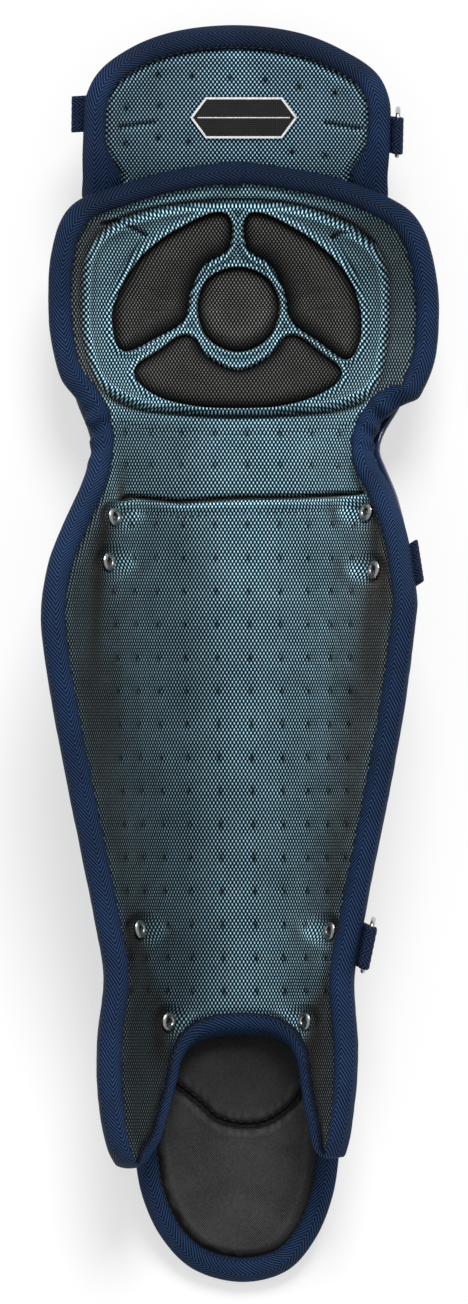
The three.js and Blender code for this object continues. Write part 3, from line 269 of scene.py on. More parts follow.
def smooth_loop(v, times):
    for _ in range(times):
        v = 0.25 * np.roll(v, 1, 0) + 0.5 * v + 0.25 * np.roll(v, -1, 0)
    return v


def covers(p, n):
    d = p[None, :, :2] - p[:, None, :2]
    reach = np.einsum("ijk,ik->ij", d, n)
    with np.errstate(divide="ignore", invalid="ignore"):
        r = np.where(reach > 1e-6, (d ** 2).sum(-1) / (2 * reach), np.inf)
    return smooth_loop(np.minimum(TAPE_COVER * p[:, 2], 0.8 * r.min(1)), 6)


# The outline drawn in where the wall is steep, so that the tape's outermost line falls on it
def outline(trough, rows):
    edge = curve(rows, 1.8)
    n = inward(edge)
    slope = trough.normal(edge[:, 0], edge[:, 1])
    lean = slope[:, 0] * n[:, 0] + slope[:, 1] * n[:, 1]
    shift = smooth_loop(np.clip(6.0 * lean, 0, 5), 12)
    edge[:, :2] += n * shift[:, None]
    n = inward(edge)
    cover = covers(edge, n)
    return edge, n, np.maximum(cover - 1.45 * shift, 0.5 * cover)


# Distance from points to a loop, positive inside, and the nearest station
def distance(points, loop):
    best = np.full(len(points), np.inf)
    near = np.zeros(len(points), int)
    inside = np.zeros(len(points), bool)
    a, b = loop[:, :2], np.roll(loop[:, :2], -1, 0)
    for k in range(len(a)):
        e = b[k] - a[k]
        w = points - a[k]
        t = np.clip((w @ e) / max(e @ e, 1e-9), 0, 1)
        d = np.hypot(w[:, 0] - t * e[0], w[:, 1] - t * e[1])
        hit = d < best
        best[hit] = d[hit]
        near[hit] = k
        if a[k, 1] != b[k, 1]:
            cross = (a[k, 1] > points[:, 1]) != (b[k, 1] > points[:, 1])
            inside ^= cross & (points[:, 0] < a[k, 0] + (points[:, 1] - a[k, 1]) * e[0] / e[1])
    return np.where(inside, best, -best), near


def ramp(v, a, b):
    t = np.clip((v - a) / (b - a), 0, 1)
    return t * t * (3 - 2 * t)


def bump(v, width):
    return np.exp(-(v / width) ** 2)


def hash_noise(x, y, size, seed):
    x, y = x / size, y / size
    i, j = np.floor(x), np.floor(y)
    a, b = ramp(x - i, 0, 1), ramp(y - j, 0, 1)
    value = lambda p, q: (np.sin(p * 127.1 + q * 311.7 + seed * 74.7) * 43758.5453) % 1.0
    return ((1 - a) * (1 - b) * value(i, j) + a * (1 - b) * value(i + 1, j)
            + (1 - a) * b * value(i, j + 1) + a * b * value(i + 1, j + 1)) - 0.5


# Points and triangles that fill a loop, closer together above a line where one is given
def staggered(lo, hi, spacing):
    ys = np.arange(lo[1], hi[1], spacing * 0.866)
    xs = np.arange(lo[0], hi[0] + spacing, spacing)
    gx, gy = np.meshgrid(xs, ys)
    gx = gx + np.where(np.arange(len(ys)) % 2 == 0, 0, spacing / 2)[:, None]
    return np.stack([gx.ravel(), gy.ravel()], -1)


def fill(loop, spacing, dense=None, spots=()):
    lo, hi = loop.min(0), loop.max(0)
    if dense is None:
        g = staggered(lo, hi, spacing)
    else:
        line, close = dense
        g = np.vstack([staggered(lo, (hi[0], line), spacing), staggered((lo[0], line), hi, close)])
    if len(spots):
        keep = np.ones(len(g), bool)
        for cx, cy in spots:
            keep &= ~((np.abs(g[:, 0] - cx) < 2.4) & (np.abs(g[:, 1] - cy) < 3.4))
        star = staggered((-2.1, -3.1), (1.6, 3.2), 0.62)
        g = np.vstack([g[keep]] + [star + spot for spot in spots])
    d, _ = distance(g, loop)
    g = g[d > 0.55 * spacing]
    verts = [tuple(v) for v in np.vstack([loop, g])]
    n = len(loop)
    out = delaunay_2d_cdt(verts, [], [list(range(n))], 1, 1e-6)
    v = np.array([tuple(q) for q in out[0]])
    f = np.array([list(q) for q in out[2]])
    a, b, c = v[f[:, 0]], v[f[:, 1]], v[f[:, 2]]
    turn = (b[:, 0] - a[:, 0]) * (c[:, 1] - a[:, 1]) - (b[:, 1] - a[:, 1]) * (c[:, 0] - a[:, 0])
    f[turn < 0] = f[turn < 0][:, ::-1]
    return v, f


def blur(a, steps):
    for axis in (0, 1):
        for _ in range(steps):
            ahead, behind = np.roll(a, 1, axis), np.roll(a, -1, axis)
            a = 0.25 * ahead + 0.5 * a + 0.25 * behind
    return a


# A surface's heights on a grid, with how far each point faces up and how hollow it is
class Relief:
    def __init__(self, trough, box, step, height):
        self.x0, self.y0, self.step = box[0], box[1], step
        self.xs = np.arange(box[0], box[2] + step, step)
        self.ys = np.arange(box[1], box[3] + step, step)
        gx, gy = np.meshgrid(self.xs, self.ys)
        h = height(gx.ravel(), gy.ravel()).reshape(gx.shape)
        p = trough.point(gx, gy, blur(h, 1))
        n = np.cross(np.gradient(p, axis=1), np.gradient(p, axis=0))
        up = n[..., 2] / np.linalg.norm(n, axis=-1)
        self.maps = {"height": h, "up": up, "hollow": blur(h, int(9 / step ** 2)) - h}

    def at(self, name, x, y):
        return sample(self.maps[name], x, y, self.x0, self.y0, self.step)


def make(name, verts, faces, uv=None, tone=None):
    mesh = bpy.data.meshes.new(name)
    mesh.from_pydata(((np.asarray(verts) - MIDDLE) / 1000.0).tolist(), [], [list(map(int, f)) for f in faces])
    mesh.update()
    if uv is not None:
        loops = np.zeros(len(mesh.loops), int)
        mesh.loops.foreach_get("vertex_index", loops)
        layer = mesh.uv_layers.new(name="UVMap")
        layer.data.foreach_set("uv", (np.asarray(uv)[loops] / 1000.0).astype(np.float32).ravel())
    if tone is not None:
        layer = mesh.color_attributes.new("tone", "FLOAT_COLOR", "POINT")
        rgba = np.ones((len(verts), 4), np.float32)
        rgba[:, :3] = np.asarray(tone)[:, :3]
        layer.data.foreach_set("color", rgba.ravel())
    mesh.shade_smooth()
    obj = bpy.data.objects.new(name, mesh)
    bpy.context.collection.objects.link(obj)
    return obj


# Two fills of one loop joined by a rim: the upper with one point function, the lower with another
def slab(loop, upper, lower, fine, coarse, dense=None, spots=()):
    vu, fu = fill(loop, fine, dense, spots)
    vl, fl = fill(loop, coarse)
    n = len(loop)
    pu, pl = upper(vu), lower(vl)
    k = len(vu)
    rim = np.arange(n)
    nxt = (rim + 1) % n
    if winding(loop) < 0:
        rim, nxt = nxt, rim
    quads = np.stack([rim, k + rim, k + nxt, nxt], -1)
    faces = fu.tolist() + (fl[:, ::-1] + k).tolist() + quads.tolist()
    return np.vstack([pu, pl]), faces, vu, vl


# Lengths along the surface of upper and lower points, as their places in the weave
def flat_uv(trough, upper, lower):
    p = np.vstack([upper, lower])
    return np.stack(trough.arcs(p[:, 0], p[:, 1]), -1)


# Quads between rings of points that follow one another, and the two end faces
def tube_faces(rings, sides, base=0, closed=False):
    faces = []
    for j in range(rings if closed else rings - 1):
        a, b = base + j * sides, base + (j + 1) % rings * sides
        faces += [[a + k, b + k, b + (k + 1) % sides, a + (k + 1) % sides] for k in range(sides)]
    return faces


def tube_ends(rings, sides, base=0):
    last = base + (rings - 1) * sides
    return [[base + k for k in range(sides)], [last + k for k in reversed(range(sides))]]


# Materials
def material(name, color=(0.5, 0.5, 0.5), rough=0.5, metal=0.0):
    m = bpy.data.materials.new(name)
    m.use_nodes = True
    b = m.node_tree.nodes["Principled BSDF"]
    b.inputs["Base Color"].default_value = (*color, 1)
    b.inputs["Roughness"].default_value = rough
    b.inputs["Metallic"].default_value = metal
    return m, m.node_tree, b


class Nodes:
    def __init__(self, tree):
        self.tree = tree

    def new(self, kind, **settings):
        n = self.tree.nodes.new(kind)
        for k, v in settings.items():
            setattr(n, k, v)
        return n

    def link(self, a, b):
        self.tree.links.new(a, b)

    def math(self, operation, a, b=None):
        n = self.new("ShaderNodeMath", operation=operation)
        for k, v in enumerate((a, b)):
            if v is None:
                continue
            if isinstance(v, (int, float)):
                n.inputs[k].default_value = v
            else:
                self.link(v, n.inputs[k])
        return n.outputs[0]

    def ramp(self, value, stops):
        n = self.new("ShaderNodeValToRGB")
        while len(n.color_ramp.elements) < len(stops):
            n.color_ramp.elements.new(0.5)
        for e, (p, c) in zip(n.color_ramp.elements, stops):
            e.position = p
            e.color = (*c, 1) if isinstance(c, tuple) else (c, c, c, 1)
        self.link(value, n.inputs[0])
        return n.outputs[0]

    def mix(self, factor, a, b, blend="MIX"):
        n = self.new("ShaderNodeMix", data_type="RGBA", blend_type=blend)
        for slot, v in ((0, factor), (6, a), (7, b)):
            if isinstance(v, (int, float)):
                n.inputs[slot].default_value = v
            elif isinstance(v, tuple):
                n.inputs[slot].default_value = (*v, 1)
            else:
                self.link(v, n.inputs[slot])
        return n.outputs[2]

    def noise(self, scale, detail):
        c = self.new("ShaderNodeTexCoord")
        n = self.new("ShaderNodeTexNoise")
        n.inputs["Scale"].default_value = scale
        n.inputs["Detail"].default_value = detail
        self.link(c.outputs["Object"], n.inputs["Vector"])
        return n.outputs["Fac"]

    def uv(self):
        c = self.new("ShaderNodeTexCoord")
        s = self.new("ShaderNodeSeparateXYZ")
        self.link(c.outputs["UV"], s.inputs[0])
        return s.outputs[0], s.outputs[1]

    # A wave from -1 to 1 brought to 0 to 1
    def half(self, wave):
        return self.math("ADD", self.math("MULTIPLY", wave, 0.5), 0.5)

    # A colour times twice the painted light gain, so that 0.5 leaves it as it is, more paints light and less paints
    # shade
    def lit(self, color, painted_light_gain):
        n = self.new("ShaderNodeVectorMath", operation="SCALE")
        self.link(color, n.inputs[0])
        self.link(self.math("MULTIPLY", painted_light_gain, 2.0), n.inputs["Scale"])
        return n.outputs[0]

    # The painted light and shade on each vertex: the first channel lets in the shaded copy of a cloth's colours, the
    # second darkens toward near black as painted shade, the third is the painted light gain
    def tone(self):
        a = self.new("ShaderNodeAttribute", attribute_name="tone")
        s = self.new("ShaderNodeSeparateColor")
        self.link(a.outputs["Color"], s.inputs[0])
        return s.outputs

    def bump(self, bsdf, height, distance, strength):
        n = self.new("ShaderNodeBump")
        n.inputs["Distance"].default_value = distance
        n.inputs["Strength"].default_value = strength
        self.link(height, n.inputs["Height"])
        self.link(n.outputs[0], bsdf.inputs["Normal"])


# Staggered lattice of dots on the surface's lengths: 1 on a dot's middle, -1 between the dots
def lattice(n, across, along):
    u, v = n.uv()
    a = n.math("COSINE", n.math("MULTIPLY", u, 2 * math.pi / across))
    b = n.math("COSINE", n.math("MULTIPLY", v, 2 * math.pi / along))
    return n.math("MULTIPLY", a, b)


# Mesh cloth with a shaded copy of its colours (side), mixed in as painted shade where the tone says so
def mesh_cloth(name, across, along, colors, side):
    m, tree, b = material(name, rough=0.8)
    n = Nodes(tree)
    dots = lattice(n, across, along)
    half = n.half(dots)
    patch = n.noise(38.0, 4.0)
    uneven = n.math("ADD", half, n.math("MULTIPLY", n.math("SUBTRACT", patch, 0.5), 0.16))
    stops = (0.36, 0.58, 0.86)
    shade, painted_shade_mix, painted_light_gain = n.tone()
    # Painted shade: the colour goes toward the shaded copy and toward near black; painted light: the gain scales it
    color = n.mix(shade, n.ramp(uneven, list(zip(stops, side))), n.ramp(uneven, list(zip(stops, colors))))
    grain = n.ramp(n.noise(900.0, 2.0), [(0.3, 0.7), (0.7, 1.0)])
    color = n.mix(1.0, color, grain, "MULTIPLY")
    color = n.mix(painted_shade_mix, (0.0015, 0.002, 0.0025), n.lit(color, painted_light_gain))
    n.link(color, b.inputs["Base Color"])
    n.link(n.ramp(half, [(0.2, 0.92), (0.9, 0.6)]), b.inputs["Roughness"])
    b.inputs["Specular IOR Level"].default_value = 0.12
    b.inputs["Sheen Weight"].default_value = 0.015
    b.inputs["Sheen Roughness"].default_value = 0.5
    n.bump(b, half, 0.0005, 0.8)
    return m


def twill(name, base, line, pitch, band, slope):
    m, tree, b = material(name, rough=0.75)
    n = Nodes(tree)
    u, v = n.uv()
    row = n.math("MODULO", n.math("ADD", v, 8 * band), 2 * band)
    side = n.math("ABSOLUTE", n.math("SUBTRACT", row, band))
    slant = n.math("ADD", u, n.math("MULTIPLY", side, slope))
    wave = n.math("SINE", n.math("MULTIPLY", slant, 2 * math.pi / pitch))
    half = n.half(wave)
    thread = n.math("SINE", n.math("MULTIPLY", u, 2 * math.pi / 0.0005))
    patch = n.noise(60.0, 4.0)
    mixed = n.math("ADD", n.math("MULTIPLY", half, 0.62), n.math("MULTIPLY", patch, 0.25))
    mixed = n.math("ADD", mixed, n.math("MULTIPLY", n.noise(1100.0, 2.0), 0.3))
    # The tape's painted shade darkens toward near black, and its painted light gain scales the colour
    _, painted_shade_mix, painted_light_gain = n.tone()
    color = n.lit(n.ramp(mixed, [(0.36, base), (0.88, line)]), painted_light_gain)
    color = n.mix(painted_shade_mix, (0.0004, 0.0008, 0.0025), color)
    n.link(color, b.inputs["Base Color"])
    b.inputs["Specular IOR Level"].default_value = 0.14
    b.inputs["Sheen Weight"].default_value = 0.02
    b.inputs["Sheen Tint"].default_value = (0.25, 0.4, 0.8, 1)
    b.inputs["Sheen Roughness"].default_value = 0.4
    n.link(n.ramp(patch, [(0.3, 0.6), (0.7, 0.8)]), b.inputs["Roughness"])
    n.bump(b, n.math("ADD", half, n.math("MULTIPLY", thread, 0.12)), 0.0004, 0.9)
    return m


def knit(name, low, high):
    m, tree, b = material(name, rough=0.9)
    n = Nodes(tree)
    dots = lattice(n, 0.0012, 0.0014)
    half = n.half(dots)
    patch = n.noise(45.0, 5.0)
    fleck = n.noise(900.0, 2.0)
    mixed = n.math("ADD", n.math("MULTIPLY", half, 0.5), n.math("MULTIPLY", patch, 0.4))
    mixed = n.math("ADD", mixed, n.math("MULTIPLY", fleck, 0.45))
    # The knit's painted shade darkens toward near black, and its painted light gain scales the colour
    _, painted_shade_mix, painted_light_gain = n.tone()
    color = n.lit(n.ramp(mixed, [(0.35, low), (0.98, high)]), painted_light_gain)
    color = n.mix(painted_shade_mix, (0.0008, 0.0008, 0.001), color)
    n.link(color, b.inputs["Base Color"])
    b.inputs["Specular IOR Level"].default_value = 0.2
    b.inputs["Sheen Weight"].default_value = 0.04
    n.bump(b, mixed, 0.0004, 0.8)
    return m


def plastic(name):
    m, tree, b = material(name, rough=0.3)
    n = Nodes(tree)
    patch = n.noise(14.0, 5.0)
    color = n.ramp(patch, [(0.3, (0.007, 0.016, 0.05)), (0.7, (0.011, 0.024, 0.072))])
    scuff = n.ramp(n.noise(420.0, 6.0), [(0.62, 0.0), (0.78, 1.0)])
    color = n.mix(n.math("MULTIPLY", scuff, 0.12), color, (0.12, 0.14, 0.2))
    n.link(color, b.inputs["Base Color"])
    n.link(n.ramp(n.noise(60.0, 5.0), [(0.3, 0.24), (0.75, 0.42)]), b.inputs["Roughness"])
    b.inputs["Coat Weight"].default_value = 0.3
    n.bump(b, n.noise(700.0, 2.0), 0.0001, 0.25)
    return m


def metal(name, tint):
    m, tree, b = material(name, tint, 0.25, 1.0)
    n = Nodes(tree)
    patch = n.noise(500.0, 4.0)
    dark = tuple(0.6 * c for c in tint)
    n.link(n.ramp(patch, [(0.25, dark), (0.6, tint)]), b.inputs["Base Color"])
    n.link(n.ramp(n.noise(900.0, 3.0), [(0.3, 0.18), (0.7, 0.4)]), b.inputs["Roughness"])
    n.bump(b, n.noise(1600.0, 2.0), 0.00004, 0.5)
    return m


def carbon(name):
    m, tree, b = material(name, rough=0.35)
    n = Nodes(tree)
    u, v = n.uv()
    a = n.math("SINE", n.math("MULTIPLY", n.math("ADD", u, v), 2 * math.pi / 0.0022))
    c = n.math("SINE", n.math("MULTIPLY", n.math("SUBTRACT", u, v), 2 * math.pi / 0.0022))
    weave = n.half(n.math("MULTIPLY", a, c))
    patch = n.noise(120.0, 3.0)
    mixed = n.math("ADD", n.math("MULTIPLY", weave, 0.7), n.math("MULTIPLY", patch, 0.35))
    color = n.ramp(mixed, [(0.25, (0.0015, 0.0015, 0.0018)), (0.95, (0.020, 0.0205, 0.022))])
    n.link(color, b.inputs["Base Color"])
    b.inputs["Coat Weight"].default_value = 0.1
    b.inputs["Specular IOR Level"].default_value = 0.25
    n.bump(b, weave, 0.00015, 0.5)
    return m


def thread(name, color):
    m, tree, b = material(name, color, 0.7)
    n = Nodes(tree)
    dark = tuple(0.55 * c for c in color)
    n.link(n.ramp(n.noise(1500.0, 2.0), [(0.3, dark), (0.7, color)]), b.inputs["Base Color"])
    return m


# A shaded copy of the mesh colours, for painted shade on steep walls
SHADED_WALL_COLORS = ((0.009, 0.008, 0.0075), (0.036, 0.033, 0.030), (0.165, 0.165, 0.155))
teal_mesh = mesh_cloth("liner_mesh", 0.00196, 0.00334,
                       ((0.0005, 0.0045, 0.0095), (0.0085, 0.076, 0.138), (0.60, 0.92, 1.0)), SHADED_WALL_COLORS)
thigh_mesh = mesh_cloth("thigh_mesh", 0.0022, 0.00285,
                        ((0.0003, 0.004, 0.011), (0.0055, 0.058, 0.120), (0.56, 0.88, 1.0)), SHADED_WALL_COLORS)
# The pads' mesh, with a darker shaded copy of its colours for painted shade at the pads' edges
black_mesh = mesh_cloth("pad_mesh", 0.0019, 0.0030,
                        ((0.004, 0.0039, 0.0037), (0.026, 0.026, 0.025), (0.22, 0.218, 0.210)),
                        ((0.002, 0.002, 0.002), (0.006, 0.006, 0.006), (0.03, 0.029, 0.027)))
navy_twill = twill("twill_tape", (0.0002, 0.0018, 0.0085), (0.024, 0.066, 0.175), 0.0026, 0.0068, 1.5)
navy_webbing = twill("webbing", (0.0002, 0.0014, 0.006), (0.018, 0.038, 0.10), 0.0026, 0.0045, 1.4)
foot_knit = knit("foot_knit", (0.0028, 0.0028, 0.0028), (0.074, 0.074, 0.075))
shell_plastic = plastic("shell")
rivet_metal = metal("rivet", (0.52, 0.515, 0.50))
wire_metal = metal("wire", (0.50, 0.50, 0.49))
badge_face = carbon("badge")
white_line = thread("badge_line", (0.98, 0.98, 0.98))
navy_thread = thread("navy_thread", (0.006, 0.012, 0.035))
black_thread = thread("black_thread", (0.004, 0.004, 0.0045))
# Dark grey painted shade for the insides of the rivets' eyelets
hollow_painted_shade = thread("rivet_hollow_painted_shade", (0.03, 0.03, 0.03))
back_cloth = knit("back_cloth", (0.010, 0.011, 0.013), (0.036, 0.038, 0.043))


# Puckers of the liner round the rivets, deeper on the side away from the middle
def rivet_dips(x, y):
    dip = np.zeros_like(x)
    for _, rx, ry, _ in RIVETS:
        cx, cy = rx * HALF_WIDTH, ry * GUARD_LENGTH
        inner = math.copysign(1.0, -cx)
        r = np.hypot(x - cx, y - cy)
        dip += 3.1 * (1 - ramp(r, 4.0, 10.5))
        dip -= 1.5 * bump(np.hypot(x - cx - 11.5 * inner, (y - cy) * 0.8), 5.0)
    return dip


def tufts():
    rows = [116.3, 99.5] + [67.5 - 17.5 * k for k in range(15)]
    out = []
    for y in rows:
        mid = np.interp(y, [-178, 68], [1.2, -3.7])
        xs = np.arange(-100, 101, 1.0)
        us, _ = leg.arcs(xs, np.full_like(xs, y))
        um, _ = leg.arcs(np.array([mid]), np.array([y]))
        for k in range(-5, 5):
            out.append((float(np.interp(um[0] + (k + 0.5) * 17.0, us, xs)), y))
    return np.array(out)


TUFTS = tufts()


# How deep each tuft's dimple is, from 0 to 1; as a mark it lowers the surface and is painted shade in the dimple
def tuft_dips(x, y, places, height=2.4, width=1.25):
    deep = np.zeros_like(x)
    for cx, cy in places:
        near = (np.abs(x - cx) < 6) & (np.abs(y - cy) < 8)
        if near.any():
            dy = y[near] - cy
            tall = height * (1 + 0.35 * (cy < -20) * (abs(cx - 2) < 24))
            w = width * (1 - 0.5 * np.clip(dy / tall, -1, 1))
            q = np.hypot((x[near] - cx) / w, dy / tall)
            strong = 0.92 + 0.3 * hash_noise(cx, cy, 1.7, 51)
            if cy < 124:
                strong *= 0.72 + 0.28 * math.exp(-((cx - 2) / 38) ** 2)
                strong *= np.interp(cy, [-20, 60], [1, 0.92])
            deep[near] = np.maximum(deep[near], strong * (1 - ramp(q, 0.1, 1.35)))
    return deep


LEDGE = np.array([[-60, 79.5], [-54, 82.0], [-30, 79.2], [0, 81.0], [30, 81.6], [55, 83.2], [66, 84.0]])
# Short tucks of the cushion's upper corners, and the folds of the side walls: x, y along each
TUCKS = [np.array([[-71.0, 225.5], [-64.0, 226.5], [-56.0, 224.5], [-49.5, 220.5]]),
         np.array([[70.0, 215.5], [62.0, 221.0], [55.6, 222.6], [50.2, 219.3]])]
EARS = [np.array([[-49.5, 220.5], [-56.0, 211.0], [-62.5, 200.0], [-67.0, 188.0], [-69.0, 172.0]]),
        np.array([[50.2, 219.3], [57.0, 210.0], [62.5, 200.0], [66.5, 188.0]])]
WALL_FOLDS = [
    (np.array([[-68.0, 60.0], [-69.5, 44.0], [-71.5, 10.0], [-72.5, -14.0]]), 1.5, 4.6),
    (np.array([[70.0, 78.0], [67.0, 46.0], [63.5, 12.0], [62.0, -14.0]]), 1.5, 5.0),
    (np.array([[-49.0, -150.0], [-42.0, -172.0], [-34.5, -189.0], [-31.5, -215.0]]), 1.1, 4.2),
    (np.array([[51.0, -151.0], [44.0, -172.0], [37.0, -189.0], [34.0, -215.0]]), 1.1, 4.2),
]
PAD_GROW = 1.3


def grown(rows):
    loop = curve(rows, 1.6)
    return smooth_loop(loop - inward(loop) * PAD_GROW, 3)


pad_loops = {name: grown(rows) for name, rows in PADS.items()}
cushion_loop = curve(CUSHION, 3.0)


def to_line(x, y, line):
    best = np.full_like(x, 1e3)
    for a, b in zip(line, line[1:]):
        e = b - a
        s = np.clip(((x - a[0]) * e[0] + (y - a[1]) * e[1]) / (e @ e), 0, 1)
        best = np.minimum(best, np.hypot(x - a[0] - s * e[0], y - a[1] - s * e[1]))
    return best


def knee_distances(x, y):
    cushion, pads = np.full_like(x, -1e2), np.full_like(x, -1e2)
    near = y > 95
    p = np.stack([x, y], -1)[near]
    cushion[near], _ = distance(p, cushion_loop)
    best = np.full(len(p), -1e2)
    for loop in pad_loops.values():
        best = np.maximum(best, distance(p, loop)[0])
    pads[near] = best
    return cushion, pads


def leg_relief(x, y):
    cushion, pads = knee_distances(x, y)
    inside = ramp(cushion, 1.0, 3.0)
    soft = 1 - 0.45 * ramp(np.abs(x), 62, 74)
    h = 3.0 * soft * ramp(cushion, -0.9, 1.2) + 0.8 * soft * bump(cushion - 1.7, 1.3)
    h = h - 1.6 * soft * bump(cushion + 1.5, 1.2)
    h = h - 0.7 * bump(cushion - 7.0, 3.2) * ramp(-pads, 3, 6)
    h = h + 1.9 * bump(pads + 1.6, 1.15) - 0.45 * bump(pads + 4.2, 0.8) * inside - 3.6 * ramp(pads, -0.9, 0.7)
    h = h - 0.8 * bump(cushion + 10.5, 0.7) * (y < 130) * (np.abs(x) < 62)
    ledge = np.interp(x, LEDGE[:, 0], LEDGE[:, 1])
    t = y - ledge
    ends = ramp(x, -64, -55) * (1 - ramp(x, 60, 69))
    fade = 1 - ramp(y, 112, 124)
    h = h - 3.6 * ends * ramp(t, -0.4, 0.9) * (1 - 0.55 * ramp(t, 3, 26)) * fade
    h = h - 2.4 * ends * bump(t - 1.2, 1.3) - 1.0 * (1 - ends) * ramp(t, 0, 6) * fade
    h = h + ends * (1.7 * bump(t + 2.4, 1.9) - 0.8 * bump(t + 6.6, 0.8))
    for line, depth, width in WALL_FOLDS:
        tail = ramp(y, line[:, 1].min() - 14, line[:, 1].min() + 34)
        h = h - depth * bump(to_line(x, y, line), width) * tail
    for line in TUCKS:
        h = h - 2.4 * bump(to_line(x, y, line), 1.0)
    for line in EARS:
        h = h - 1.0 * bump(to_line(x, y, line), 1.1)
    for cx, cy in TUFTS:
        near = (np.abs(x - cx) < 9) & (np.abs(y - cy) < 9) & ((y < 124) | (y > 236))
        h[near] -= 0.55 * bump(np.hypot(x[near] - cx, y[near] - cy), 3.4)
    h = h + 0.5 * hash_noise(x, y, 26, 1) + 0.45 * hash_noise(x, y, 11, 2) + 0.16 * hash_noise(x, y, 4.5, 3)
    return h - rivet_dips(x, y)


# Dark spots painted into the colour: painted shade in the dimples of the stitched tufts, and a painted shadow in the
# gap above the ledge
def leg_marks(x, y):
    gap = y - np.interp(x, LEDGE[:, 0], LEDGE[:, 1]) - 1.0 - 0.8 * hash_noise(x, y, 9, 52)
    ends = ramp(x, -57, -50) * (1 - ramp(x, 55, 63))
    line = 0.9 * ends * bump(gap, 1.0 + 0.8 * hash_noise(x, y, 7, 53))
    return np.maximum(tuft_dips(x, y, TUFTS) * ((y < 124) | (y > 245)), line)


# Painted shade and light on the leg liner: how much of the plain mesh colour is left before the shaded wall colours
# take over, and how light it is painted, with random variation
def leg_painted_light(x, y):
    cushion, _ = knee_distances(x, y)
    # Painted shade: the knee's sides outside the cushion, the tails' walls outside their folds and the shin's side
    # walls take the shaded wall colours
    knee = ramp(y, 128, 140) * (1 - ramp(y, 222, 236)) * ramp(-cushion, -0.6, 1.0)
    keep = 1 - knee * np.where(x < 0, 0.85, 0.6)
    left = np.interp(y, [-215, -189, -172, -150], [-31.5, -34.5, -42, -49])
    right = np.interp(y, [-215, -189, -172, -150], [34, 37, 44, 51])
    low = 1 - ramp(y, -172, -140)
    keep = keep * (1 - low * (0.45 * ramp(left - x, -6, 5) + 0.82 * ramp(x - right, -6, 5)))
    shin = 1 - ramp(y, 60, 84)
    right = np.interp(y, [-130, -60, 20, 70], [44, 54, 61, 66])
    bands = 0.45 * ramp(-x - 62, -8, 12) + 0.62 * ramp(x - right, -14, 8) * ramp(y, -150, -120)
    keep = keep * (1 - shin * bands)
    # Painted light: darker over the left of the shin and waist and toward the tails' walls, a painted highlight on the
    # ledge's lip, and a level that changes along the leg
    light = 1 + 0 * x
    light = light * (1 - 0.52 * shin * ramp(-x, -2, 30)) * (1 - 0.15 * shin * ramp(-x, 56, 70))
    waist = ramp(y, 60, 84) * (1 - ramp(y, 118, 128))
    light = light * (1 - 0.42 * waist * ramp(-x, 2, 34)) * (1 - 0.08 * ramp(x, 48, 62))
    keep = keep * (1 - 0.5 * shin * ramp(x, 64, 74) * ramp(y, -60, 0))
    line = np.interp(x, LEDGE[:, 0], LEDGE[:, 1])
    light = light * (1 + 0.7 * bump(y - line + 2.4, 2.4) * ramp(x, -60, -30) * (1 - ramp(x, 56, 66)))
    light = light * (1 - 0.35 * ramp(-y, 110, 160) * np.clip(np.abs(x - 9) / 40, 0, 1) ** 1.3)
    light = light * np.interp(y, [-190, -161, -108, -56, 0, 60, 120], [0.9, 0.9, 0.78, 0.9, 0.98, 1.06, 1.03])
    # Beside each rivet, a painted highlight on the pucker toward the middle and painted shade on the fold below it
    # toward the outside
    for _, rx, ry, _ in RIVETS:
        cx, cy = rx * HALF_WIDTH, ry * GUARD_LENGTH
        inner = math.copysign(1.0, -cx)
        near = bump(np.hypot((x - cx - 8.0 * inner) / 6.0, (y - cy + 1.0) / 7.5), 1.0)
        light = light * (1 + 0.45 * near)
        keep = np.maximum(keep, near)
        fold_shade = bump(np.hypot((x - cx + 6.5 * inner) / 4.0, (y - cy + 8) / 17.0), 1.0)
        keep = keep * (1 - 0.9 * fold_shade)
        light = light * (1 - 0.3 * fold_shade)
    return keep, light * (1 + 0.22 * hash_noise(x, y, 21, 6) + 0.12 * hash_noise(x, y, 8, 7))


